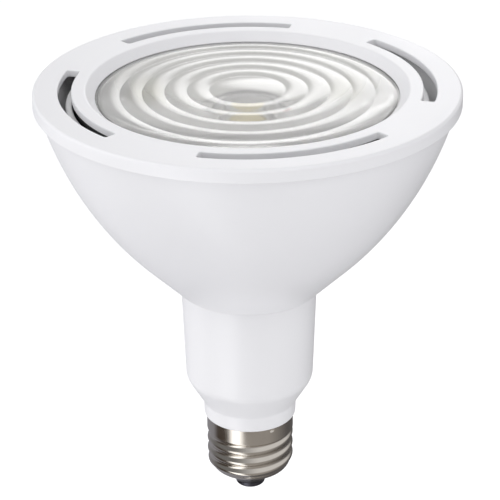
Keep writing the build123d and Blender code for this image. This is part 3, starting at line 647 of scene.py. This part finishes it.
def clear_optic(name, finish):
    """Moulded clear optic that scatters a little light, with soft flow lines.

    Two faint ovals of painted shade stand at the sides for the dark refractions there, the right one paler."""
    material, build, surface = shader(name)
    flow = object_noise(build, 45.0, detail=2.0)
    parts = build.xyz(build.place())
    # Painted shade: two dark ovals at the optic's sides for dark refractions, weaker on the right
    out = build.math("SUBTRACT", build.math("ABSOLUTE", parts["X"]), PAINTED_SHADE_PLACE[0])
    along = build.math("SUBTRACT", parts["Y"], PAINTED_SHADE_PLACE[1])
    away = build.hypot(build.math("DIVIDE", out, PAINTED_SHADE_REACH[0]), build.math("DIVIDE", along, PAINTED_SHADE_REACH[1]))
    painted_patch = build.span(away, 1.15, 0.5, kind="SMOOTHSTEP")
    side = build.span(parts["X"], -0.02, 0.02, 1.0, 0.6)
    clear = tinted(build, finish.lens, 0.02, flow)
    tint = build.mix(build.math("MULTIPLY", painted_patch, side), clear, (*finish.lens_painted_shade, 1.0))
    build.link(tint, surface.inputs["Base Color"])
    build.link(ranged(build, flow, 0.08, 0.13), surface.inputs["Roughness"])
    bumped(build, surface, flow, 0.05, 0.0002)
    coat = {"Coat Weight": 0.12, "Coat Roughness": 0.05}
    set_sockets(surface, {"IOR": 1.49, "Transmission Weight": 0.78, **coat})
    return material


def plain_scene():
    """Removes what the start-up scene holds, apart from the frame."""
    for obj in list(bpy.data.objects):
        if obj.type in ("LIGHT", "CAMERA") or obj.name == "Cube":
            bpy.data.objects.remove(obj)


# Pieces


def slot_outline(ring, middle, grow, corner_steps=7, run_steps=72):
    """Outline of one air slot, grown outwards by an even amount."""
    inner, outer = ring.slot_inner, ring.slot_inner + ring.slot_width
    corner = ring.slot_corner
    first, last = middle - ring.slot_span / 2, middle + ring.slot_span / 2
    far, close = outer - corner, inner + corner
    far_turn, close_turn = asin(corner / far), asin(corner / close)

    def corner_arc(reach, angle, start, stop):
        size = corner + grow
        return oval(reach * cos(angle), reach * sin(angle), size, size, start, stop, corner_steps)

    def run(reach, start, stop):
        return oval(0, 0, reach, reach, start, stop, run_steps)[1:-1]

    points = corner_arc(far, last - far_turn, last - far_turn, last + pi / 2)
    points += corner_arc(close, last - close_turn, last + pi / 2, last - close_turn + pi)
    points += run(inner - grow, last - close_turn, first + close_turn)
    points += corner_arc(close, first + close_turn, first + close_turn + pi, first + 3 * pi / 2)
    points += corner_arc(far, first + far_turn, first + 3 * pi / 2, first + far_turn + 2 * pi)
    points += run(outer + grow, first + far_turn, last - far_turn)
    return points


def inside(point, outline):
    """Whether a point lies in an outline, by the edges that a ray from it crosses."""
    x, y = point
    hit = False
    for (x1, y1), (x2, y2) in zip(outline, outline[1:] + outline[:1]):
        if (y1 > y) != (y2 > y) and x < (x2 - x1) * (y - y1) / (y2 - y1) + x1:
            hit = not hit
    return hit


def pierced_plate(bm, ring, inner, outer, height, grow, upward):
    """A flat annulus with the slots left out; returns the slots' middles."""
    loops = [oval(0, 0, reach, reach, 0, 2 * pi, AROUND)[:-1] for reach in (inner, outer)]
    middles = [ring.slot_middle + 2 * pi * i / ring.slot_count for i in range(ring.slot_count)]
    holes = [slot_outline(ring, middle, grow) for middle in middles]
    points, edges = [], []
    for loop in loops + holes:
        start = len(points)
        points += [Vector(p) for p in loop]
        edges += [(start + i, start + (i + 1) % len(loop)) for i in range(len(loop))]
    places, _, faces, *_ = delaunay_2d_cdt(points, edges, [], 0, 1e-9)
    made = [bm.verts.new((p.x, p.y, height)) for p in places]
    for face in faces:
        centre = sum((places[i] for i in face), Vector((0, 0))) / len(face)
        within = centre.length < inner * cos(pi / AROUND) * 0.99999
        if not within and not any(inside(centre, hole) for hole in holes):
            corners = [made[i] for i in face]
            bm.faces.new(corners if upward else corners[::-1])
    return middles


def front_ring(scene):
    ring = scene.lamp_ring
    face = FACE_HEIGHT
    under = face - ring.plate
    foot = face - ring.skirt
    lip_foot = face - ring.lip_depth
    skirt_inside = ring.radius - ring.wall
    slope = (ring.window - ring.lip_end) / ring.lip_depth
    back = ring.wall * sqrt(1 + slope**2)
    back_under = ring.window + back - slope * ring.plate
    outer_path = rounded(
        (ring.radius - 2 * ring.edge, face),
        (ring.radius, face, ring.edge),
        (ring.radius, foot, ring.foot_edge),
        (skirt_inside, foot, ring.foot_edge),
        (skirt_inside, under),
        steps=10,
        closed=False,
    )[1:]
    lip_path = rounded(
        (ring.window + 2 * ring.window_edge, face),
        (ring.window, face, ring.window_edge),
        (ring.lip_end, lip_foot, ring.foot_edge),
        (ring.lip_end + back, lip_foot, ring.foot_edge),
        (back_under, under),
        steps=10,
        closed=False,
    )[1:]
    bm = bmesh.new()
    turn_strip(bm, outer_path, False)
    turn_strip(bm, lip_path, False)
    pierced_plate(bm, ring, lip_path[0][0], outer_path[0][0], face, ring.slot_edge, True)
    middles = pierced_plate(bm, ring, back_under, skirt_inside, under, 0.0, False)
    edge_steps = 8
    for middle in middles:
        rows = []
        for i in range(edge_steps + 1):
            turn = pi / 2 * i / edge_steps
            grow = ring.slot_edge * (1 - sin(turn))
            height = face - ring.slot_edge * (1 - cos(turn))
            rows.append([bm.verts.new((x, y, height)) for x, y in slot_outline(ring, middle, grow)])
        rows.append([bm.verts.new((x, y, under)) for x, y in slot_outline(ring, middle, 0.0)])
        for upper, lower in zip(rows, rows[1:]):
            for i in range(len(upper)):
                j = (i + 1) % len(upper)
                bm.faces.new((upper[i], upper[j], lower[j], lower[i]))
    obj = new_piece("ring_dressed", finish_bmesh(bm, "ring_dressed"))
    even = obj.modifiers.new("Even normals", "WEIGHTED_NORMAL")
    even.keep_sharp = True
    even.weight = 100
    plain_mesh(obj)
    return seat(obj, "front_ring", moulded("White plastic, ring", scene.lamp_finish.white))


def body_cup(scene):
    ring, cup, neck = scene.lamp_ring, scene.lamp_cup, scene.lamp_neck
    line = CupLine(cup, ring)
    under = FACE_HEIGHT - ring.plate
    rim_height = line.rim[1]
    bore = neck.top + neck.bore_gap
    bore_top = rim_height + (bore - line.radius(rim_height, cup.wall)) * line.sin / line.cos
    outside = line.points(0.0, rim_height, line.shoulder[1])
    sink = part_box("heat_sink")[1].x
    wall_in = sink + cup.inner_gap
    wall_out = wall_in + cup.inner_wall
    wall_top = FACE_HEIGHT - cup.inner_drop
    wall_foot = line.height(wall_in, cup.wall)
    within = line.points(cup.wall, line.height(wall_out, cup.wall), line.shoulder[1], steps=16)[::-1]
    within += rounded(
        within[-1],
        (wall_out, wall_top, cup.inner_edge),
        (wall_in, wall_top, cup.inner_edge),
        (wall_in, wall_foot),
        closed=False,
    )[1:]
    within += line.points(cup.wall, bore_top, wall_foot, steps=48)[::-1][1:]
    lower = rounded(
        (bore, bore_top),
        (bore, rim_height, cup.rim_edge * 0.6),
        (outside[0][0], outside[0][1], cup.rim_edge),
        outside[2],
        closed=False,
    )
    top = [(line.shoulder[0], under), (line.shoulder[0] - cup.wall, under)]
    path = outside[2:] + top + within + lower[1:-1]
    shell = turned("cup_shell", path)
    rib_low = wall_foot - cup.rib_drop
    white = moulded("White plastic, cup", scene.lamp_finish.white)
    # Painted light: the inside of the cup is made lighter, lifting the shade in the pocket under the slots
    painted_light_inside(white, scene.lamp_finish.inside_painted_light, line, cup.wall)

    # One rib, then its copies between the slots. It ends a little way inside the wall.
    overlap = 0.00004
    rib_edge = sink + cup.rib_gap
    outline = [(rib_edge, under), (rib_edge, rib_low)]
    outline += line.points(cup.wall - overlap, rib_low, line.shoulder[1], steps=16)
    outline.append((line.shoulder[0] - cup.wall + overlap, under))
    rib = slab("cup_ribs", outline, cup.rib)
    between = ring.slot_middle + pi / ring.slot_count
    apply_tree(rib, spokes_tree(), {"Count": ring.slot_count, "First angle": between, "Material": white})
    obj = joined("cup_dressed", [shell, rib])
    return seat(obj, "housing", white)


def neck_sleeve(scene):
    neck, cup = scene.lamp_neck, scene.lamp_cup
    low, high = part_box("neck_sleeve")
    collar_top = neck.cap + neck.collar
    taper_top = collar_top + neck.taper
    rim = FACE_HEIGHT - cup.depth
    flange_foot = high.z - neck.flange
    land_foot = neck.cap - neck.land_foot
    edge, land_slope, foot_round, lip_depth = 0.0003, 0.0008, 0.0007, 0.0018
    draft, draft_top, collar_round = 0.00012, 0.0012, 0.0012
    path = rounded(
        (neck.spigot - neck.tube, low.z, edge),
        (neck.spigot, low.z, edge),
        (neck.spigot, land_foot - land_slope),
        (neck.land, land_foot),
        (neck.land, neck.cap),
        (neck.collar_bottom, neck.cap, foot_round),
        (neck.collar_bottom + draft, neck.cap + draft_top),
        (neck.collar_top, collar_top, collar_round),
        (neck.bottom, taper_top, neck.taper_round),
        (neck.top, rim),
        (neck.top, flange_foot),
        (high.x, flange_foot),
        (high.x, high.z),
        (neck.lip, high.z),
        (neck.lip, high.z - lip_depth),
        (neck.top - neck.wall, flange_foot),
        (neck.bottom - neck.wall, taper_top, neck.taper_round - neck.wall),
        (neck.collar_top - neck.wall, collar_top),
        (neck.spigot - neck.tube, neck.cap),
        steps=14,
    )
    obj = turned("neck_dressed", divided(path, 0.0025))
    return seat(obj, "neck_sleeve", moulded("White plastic, neck", scene.lamp_finish.white))


def base_shell(scene):
    base, neck = scene.lamp_base, scene.lamp_neck
    band_foot = neck.cap - base.band
    shoulder_foot = band_foot - base.depth
    bend_top = base.foot + base.foot_round
    drop = base.root - base.foot_radius
    foot = oval(base.foot_radius, bend_top, drop, base.foot_round, -pi / 2, 0, 14)
    step, shoulder_round = 0.00011, 0.0005
    wall = divided([(base.root, bend_top), (base.root, shoulder_foot)], step)
    shoulder = rounded(
        (base.root, shoulder_foot - 0.0004),
        (base.root, shoulder_foot, shoulder_round),
        (base.radius, band_foot, shoulder_round),
        (base.radius, neck.cap),
        closed=False,
    )
    # The wall's last points give way to the shoulder's round.
    path = foot + wall[1:-5] + divided(shoulder, step)[1:]
    obj = turned("shell_dressed", path, closed=False, steps=256)
    nickel = rolled_nickel("Nickel plate", scene.lamp_finish.nickel)
    values = {"Pitch": base.pitch, "Depth": base.depth, "Root radius": base.root, "Material": nickel}
    values |= {"Start height": base.thread_foot, "Punch height": neck.cap - base.punch}
    apply_tree(obj, thread_tree(), values)
    # The sheet is a little thinner than the solid's, so it stays clear of what is inside it.
    sheet = obj.modifiers.new("Sheet", "SOLIDIFY")
    sheet.thickness = base.wall * 0.8
    sheet.offset = -1.0
    plain_mesh(obj)
    shade(obj.data)
    return seat(obj, "base_shell", nickel)


def base_insulator(scene):
    base = scene.lamp_base
    low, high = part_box("base_insulator")
    gap, cone_edge, plug_edge, flat, chamfer = 0.0001, 0.0003, 0.0004, 0.00055, 0.0005
    plug = base.foot_radius - gap
    hole = base.pin + gap / 2
    path = rounded(
        (hole, low.z),
        (base.cone, low.z, cone_edge),
        (plug, base.foot - gap, plug_edge),
        (plug, base.foot + flat),
        (high.x, high.z - chamfer),
        (high.x, high.z),
        (hole, high.z),
    )
    obj = turned("insulator_dressed", path, steps=160)
    black = moulded("Black moulding", scene.lamp_finish.insulator, 0.22, tint=0.2, grain=2600.0, strength=0.1)
    return seat(obj, "base_insulator", black)


def center_contact(scene):
    base = scene.lamp_base
    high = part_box("center_contact")[1].z
    edge = base.cone_foot - base.contact_edge
    path = oval(0, edge, base.contact, edge, -pi / 2, 0, 16)
    path += [(base.contact, base.cone_foot), (base.pin, base.cone_foot), (base.pin, high), (0.0, high)]
    obj = turned("contact_dressed", path, closed=False, steps=128)
    dull = brushed_metal("Dull contact", (0.09, 0.09, 0.11), 0.4)
    return seat(obj, "center_contact", dull)


def lens(scene):
    optic, ring = scene.lamp_lens, scene.lamp_ring
    line = FACE_HEIGHT - optic.base
    lip_foot = FACE_HEIGHT - ring.lip_depth
    seat_height = lip_foot - optic.flange_height
    tail_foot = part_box("lens")[0].z
    steps = 18

    def crown(reach):
        return line + optic.crown * (1 - (reach / optic.radius) ** 2)

    top = [
        (optic.dome * i / steps, crown(optic.dome) + optic.dome_rise * (1 - (i / steps) ** 2))
        for i in range(steps + 1)
    ]
    pitch = (optic.radius - optic.dome) / optic.rings
    for i in range(optic.rings):
        near = optic.dome + pitch * i
        middle, far = near + pitch / 2, near + pitch
        crest = (middle, crown(middle) + optic.ring_rise)
        top += arc_through((near, crown(near)), crest, (far, crown(far)), steps)[1:]
    path = [(r, z, optic.ring_root if i % steps == 0 and i else 0.0) for i, (r, z) in enumerate(top)]
    path = rounded(*path, steps=4, closed=False)
    rim_width = 0.001
    edge = optic.radius - rim_width
    path += [
        (optic.radius, lip_foot),
        (optic.flange, lip_foot),
        (optic.flange, seat_height),
        (edge, seat_height),
    ]
    middle = ((edge + optic.tail) / 2, (seat_height + tail_foot) / 2 - optic.sag)
    path += arc_through((edge, seat_height), middle, (optic.tail, tail_foot), 28)[1:]
    path += oval(0, tail_foot, optic.cavity, optic.cavity_depth, 0, pi / 2, 14)
    obj = turned("lens_dressed", path, closed=False)
    return seat(obj, "lens", clear_optic("Clear optic", scene.lamp_finish))


def heat_sink(scene):
    """Floor, hub and cup as one turned form, with the fins repeated round it."""
    cup, sink = scene.lamp_cup, scene.lamp_sink
    line = CupLine(cup, scene.lamp_ring)
    low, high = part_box("heat_sink")
    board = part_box("thermal_pad")[0].z
    reach = high.x
    inset = cup.wall + sink.gap
    floor_foot = board - sink.floor
    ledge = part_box("lens_holder")[1].z - sink.ledge_drop
    bore = reach - sink.wall
    hub = sink.hub
    cup_foot = floor_foot
    while line.radius(cup_foot, inset) < reach:
        cup_foot += 0.0001
    outside = line.points(inset, floor_foot, cup_foot, steps=10)
    path = outside[:-1] + [
        (reach, cup_foot),
        (reach, high.z),
        (bore, high.z),
        (bore, ledge),
        (bore - sink.ledge, ledge),
        (bore - sink.ledge, board),
        (0.0, board),
        (0.0, floor_foot),
        (hub, floor_foot),
        (hub, low.z),
        (hub + sink.wall, low.z),
        (hub + sink.wall, floor_foot),
        outside[0],
    ]
    form = turned("sink_form", path, closed=False)
    # Painted shade, in part: the near-black colour stands in for the deep shade seen through the slots
    black = brushed_metal("Near-black aluminium, painted shade", scene.lamp_finish.sink, 0.5, 1400.0, metallic=0.4)
    # The fins start inside the hub's wall.
    root = hub + sink.wall / 2
    outline = [(root, low.z)] + line.points(inset, low.z, floor_foot, steps=18) + [(root, floor_foot)]
    fin = slab("sink_fins", outline, sink.fin)
    apply_tree(fin, spokes_tree(), {"Count": sink.fins, "First angle": 0.0, "Material": black})
    obj = joined("sink_dressed", [form, fin])
    return seat(obj, "heat_sink", black)


def paint_node(node, material):
    """Gives a solid that stays in view its finished material."""
    data = frame["nodes"][node].data
    data.materials.clear()
    data.materials.append(material)


# Stage

WHITE = (1.0, 1.0, 1.0, 1.0)
AMBIENT = (0.60, 0.60, 0.61, 1.0)
FLOOR_TONE = (0.86, 0.86, 0.87, 1.0)
FLOOR_GLOW = 0.45
FLOOR_HEIGHT = -0.32
CAMERA_PLACE = (0.0, -0.5816, 0.3534)
CAMERA_AIM = (0.0, 0.0, 0.0791)
CAMERA_ROLL = -0.45
CAMERA_LENS = 158.4
CAMERA_SHIFT = 0.0026
LAMP_AIM = (0.0, 0.0, 0.08)

# Name, place, side in metres and power in watts
SOFTBOXES = (
    ("High left softbox", (-0.85, -0.25, 1.1), 0.7, 3.6),
    ("Left softbox", (-1.15, 0.0, 0.35), 0.8, 4.6),
    ("High right softbox", (0.8, -0.7, 1.0), 0.7, 3.3),
    ("Low front softbox", (0.0, -0.85, -0.22), 0.7, 1.9),
    ("Low right softbox", (0.75, -0.6, -0.22), 0.7, 0.3),
)

# What gloss sees below the horizon: share of a turn and tone. The turn starts behind the object, and
# half of it is towards the camera: a grey side, a dark card, a bright strip, a grey front, a dark side.
STUDIO_SIDES = (
    (0.18, (0.31, 0.31, 0.34)),
    (0.23, (0.08, 0.065, 0.055)),
    (0.33, (0.08, 0.065, 0.055)),
    (0.365, (2.0, 2.0, 2.0)),
    (0.42, (2.0, 2.0, 2.0)),
    (0.46, (0.38, 0.36, 0.34)),
    (0.64, (0.38, 0.36, 0.34)),
    (0.82, (0.12, 0.115, 0.115)),
)
WINDOW_WAY = (0.10, 0.95, 0.28)
WINDOW_EDGE, WINDOW_TONE = (0.975, 0.995), 2.0

# Room above the horizon, from left to right
HORIZON = (-0.15, 0.10)
ROOM_SPAN, ROOM_TONES = (-0.7, 0.3), (0.2, 0.8)


def white_studio_world():
    """White to the eye, an even pale light on the object, and a studio's bright and dark sides in gloss."""
    world = bpy.data.worlds.new("Studio")
    bpy.context.scene.world = world
    world.use_nodes = True
    build = Tree(world.node_tree)
    back = build.tree.nodes["Background"]
    path = build.add("ShaderNodeLightPath").outputs
    way = build.add("ShaderNodeTexCoord").outputs["Generated"]
    parts = build.xyz(way)
    azimuth = build.math("ARCTAN2", parts["X"], build.math("MULTIPLY", parts["Y"], -1.0))
    ramp = build.add("ShaderNodeValToRGB", {"Fac": build.math("MULTIPLY_ADD", azimuth, 1 / (2 * pi), 0.5)})
    elements = ramp.color_ramp.elements
    while len(elements) < len(STUDIO_SIDES):
        elements.new(0.5)
    for element, (place, tone) in zip(elements, STUDIO_SIDES):
        element.position = place
        element.color = (*tone, 1.0)
    # Above the horizon gloss sees a white room, darker on the left, with a bright window behind.
    level = build.span(parts["Z"], *HORIZON)
    room = build.span(parts["X"], *ROOM_SPAN, *ROOM_TONES)
    toward = build.add(
        "ShaderNodeVectorMath", {0: way, 1: Vector(WINDOW_WAY).normalized()}, operation="DOT_PRODUCT"
    ).outputs["Value"]
    window = build.span(toward, *WINDOW_EDGE, 0.0, WINDOW_TONE, "SMOOTHSTEP")
    gloss = build.mix(level, ramp.outputs[0], build.math("ADD", room, window))
    ambient = build.mix(path["Is Glossy Ray"], AMBIENT, gloss)
    seen = build.math("MAXIMUM", path["Is Camera Ray"], path["Is Transmission Ray"])
    build.link(build.mix(seen, ambient, WHITE), back.inputs["Color"])
    back.inputs["Strength"].default_value = 1.0


def pale_floor():
    """A wide pale floor well below the lamp, which is held by its base; it is clear from below."""
    bm = bmesh.new()
    bmesh.ops.create_grid(bm, x_segments=2, y_segments=2, size=4.0)
    for v in bm.verts:
        v.co.z = FLOOR_HEIGHT
    mesh = bpy.data.meshes.new("floor")
    bm.to_mesh(mesh)
    bm.free()
    floor = new_piece("floor", mesh)
    floor.visible_glossy = False
    material, build, surface = shader("Pale floor")
    camera_ray = build.add("ShaderNodeLightPath").outputs["Is Camera Ray"]
    build.link(build.math("MULTIPLY", camera_ray, FLOOR_GLOW), surface.inputs["Emission Strength"])
    set_sockets(surface, {"Base Color": FLOOR_TONE, "Roughness": 0.9, "Emission Color": WHITE})
    under = build.add("ShaderNodeNewGeometry").outputs["Backfacing"]
    clear = build.add("ShaderNodeBsdfTransparent").outputs[0]
    mix = build.add("ShaderNodeMixShader", {0: under, 1: surface.outputs[0], 2: clear})
    build.link(mix.outputs[0], build.tree.nodes["Material Output"].inputs["Surface"])
    mesh.materials.append(material)


def soft_lamp(name, place, size, power):
    """A large square softbox, left out of reflections."""
    data = bpy.data.lights.new(name, "AREA")
    data.shape = "SQUARE"
    data.size = size
    data.energy = power
    obj = bpy.data.objects.new(name, data)
    bpy.context.collection.objects.link(obj)
    obj.location = place
    obj.rotation_euler = (Vector(LAMP_AIM) - Vector(place)).to_track_quat("-Z", "Y").to_euler()
    obj.visible_glossy = False


def photo_camera():
    """The photograph's view: a long lens from the front, looking down by about 25 degrees."""
    data = bpy.data.cameras.new("Camera")
    data.lens = CAMERA_LENS
    data.sensor_width = 36.0
    data.clip_start = 0.05
    data.clip_end = 20.0
    data.shift_x = CAMERA_SHIFT
    obj = bpy.data.objects.new("Camera", data)
    bpy.context.collection.objects.link(obj)
    obj.location = CAMERA_PLACE
    look = (Vector(CAMERA_AIM) - Vector(CAMERA_PLACE)).to_track_quat("-Z", "Y").to_matrix()
    roll = Euler((0, 0, radians(CAMERA_ROLL))).to_matrix()
    obj.rotation_euler = (look @ roll).to_euler()
    bpy.context.scene.camera = obj


# Operators


class LAMP_OT_front_ring(Operator):
    """Builds the slotted front ring"""

    bl_idname = "lamp.front_ring"
    bl_label = "Front ring"

    def execute(self, context):
        front_ring(context.scene)
        return {"FINISHED"}


class LAMP_OT_body_cup(Operator):
    """Builds the bowl-shaped body with the ribs inside it"""

    bl_idname = "lamp.body_cup"
    bl_label = "Body cup"

    def execute(self, context):
        body_cup(context.scene)
        return {"FINISHED"}


class LAMP_OT_neck_sleeve(Operator):
    """Builds the neck with its taper and collar"""

    bl_idname = "lamp.neck_sleeve"
    bl_label = "Neck sleeve"

    def execute(self, context):
        neck_sleeve(context.scene)
        return {"FINISHED"}


class LAMP_OT_screw_base(Operator):
    """Builds the threaded shell, the insulator and the centre contact"""

    bl_idname = "lamp.screw_base"
    bl_label = "Screw base"

    def execute(self, context):
        base_shell(context.scene)
        base_insulator(context.scene)
        center_contact(context.scene)
        return {"FINISHED"}


class LAMP_OT_lens(Operator):
    """Builds the ringed optic and dresses its holder"""

    bl_idname = "lamp.lens"
    bl_label = "Lens"

    def execute(self, context):
        lens(context.scene)
        paint_node("lens_holder", moulded("White plastic, holder", (0.86, 0.86, 0.84), 0.5))
        return {"FINISHED"}


class LAMP_OT_heat_sink(Operator):
    """Builds the finned heat sink"""

    bl_idname = "lamp.heat_sink"
    bl_label = "Heat sink"

    def execute(self, context):
        heat_sink(context.scene)
        return {"FINISHED"}


class LAMP_OT_light_source(Operator):
    """Dresses the light source, its board, pad and screws"""

    bl_idname = "lamp.light_source"
    bl_label = "Light source"

    def execute(self, context):
        steel = brushed_metal("Zinc-plated steel", (0.55, 0.55, 0.56), 0.3)
        paint_node("thermal_pad", moulded("Grey silicone pad", (0.30, 0.31, 0.33), 0.8, 0.05))
        paint_node("led_board", moulded("White solder mask", (0.78, 0.78, 0.76), 0.4, 0.02))
        paint_node("led_emitter", moulded("Phosphor", (0.88, 0.76, 0.38), 0.45, 0.05))
        paint_node("led_screws", steel)
        paint_node("sleeve_screws", steel)
        return {"FINISHED"}


class LAMP_OT_driver(Operator):
    """Dresses the driver board, what stands on it and the wires"""

    bl_idname = "lamp.driver"
    bl_label = "Driver"

    def execute(self, context):
        black = moulded("Black component", (0.02, 0.02, 0.022), 0.4, 0.1)
        ferrite = brushed_metal("Ferrite", (0.05, 0.05, 0.052), 0.7, metallic=0.2)
        white = moulded("White wire", (0.75, 0.75, 0.73), 0.45, 0.03)
        finishes = {
            "driver_cover": moulded("Grey moulding", (0.08, 0.085, 0.09), 0.5, 0.05),
            "driver_board": moulded("Green laminate", (0.02, 0.12, 0.05), 0.4, 0.15),
            "input_capacitor": black,
            "output_capacitor": black,
            "film_capacitor": moulded("Red lacquer", (0.35, 0.06, 0.03), 0.25, 0.08),
            "input_choke": ferrite,
            "transformer_core": ferrite,
            "transformer_winding": moulded("Yellow tape", (0.75, 0.50, 0.06), 0.5, 0.1),
            "bridge_rectifier": black,
            "control_chip": black,
            "fuse_resistor": moulded("Green lacquer", (0.08, 0.26, 0.16), 0.3, 0.1),
            "live_wire": black,
            "neutral_wire": white,
            "output_wire_positive": moulded("Red wire", (0.45, 0.02, 0.02), 0.45, 0.05),
            "output_wire_negative": black,
        }
        for node, material in finishes.items():
            paint_node(node, material)
        return {"FINISHED"}


class LAMP_OT_stage(Operator):
    """Sets the pale floor, the soft lamps, the white surroundings and the camera"""

    bl_idname = "lamp.stage"
    bl_label = "Stage"

    def execute(self, context):
        context.scene.view_settings.view_transform = "Standard"
        white_studio_world()
        pale_floor()
        for softbox in SOFTBOXES:
            soft_lamp(*softbox)
        photo_camera()
        return {"FINISHED"}


PIECES = (
    LAMP_OT_front_ring,
    LAMP_OT_body_cup,
    LAMP_OT_neck_sleeve,
    LAMP_OT_screw_base,
    LAMP_OT_lens,
    LAMP_OT_heat_sink,
    LAMP_OT_light_source,
    LAMP_OT_driver,
    LAMP_OT_stage,
)


class LAMP_PT_panel(Panel):
    """Lists the lamp's pieces and their sizes"""

    bl_idname = "LAMP_PT_panel"
    bl_label = "Reflector lamp"
    bl_space_type = "VIEW_3D"
    bl_region_type = "UI"
    bl_category = "Lamp"

    def draw(self, context):
        for piece in PIECES:
            self.layout.operator(piece.bl_idname)
        for attribute in PROPERTIES:
            group = getattr(context.scene, attribute)
            box = self.layout.box()
            for field in group.__annotations__:
                box.prop(group, field)


PROPERTIES = {
    "lamp_ring": LampRingSizes,
    "lamp_cup": LampCupSizes,
    "lamp_neck": LampNeckSizes,
    "lamp_base": LampBaseSizes,
    "lamp_lens": LampLensSizes,
    "lamp_sink": LampSinkSizes,
    "lamp_finish": LampFinish,
}


def register():
    for group in PROPERTIES.values():
        bpy.utils.register_class(group)
    for attribute, group in PROPERTIES.items():
        setattr(bpy.types.Scene, attribute, PointerProperty(type=group))
    for piece in PIECES:
        bpy.utils.register_class(piece)
    bpy.utils.register_class(LAMP_PT_panel)


def unregister():
    bpy.utils.unregister_class(LAMP_PT_panel)
    for piece in reversed(PIECES):
        bpy.utils.unregister_class(piece)
    for attribute, group in PROPERTIES.items():
        delattr(bpy.types.Scene, attribute)
        bpy.utils.unregister_class(group)


def main():
    plain_scene()
    register()
    for piece in PIECES:
        family, name = piece.bl_idname.split(".")
        getattr(getattr(bpy.ops, family), name)()


if __name__ == "__main__":
    main()
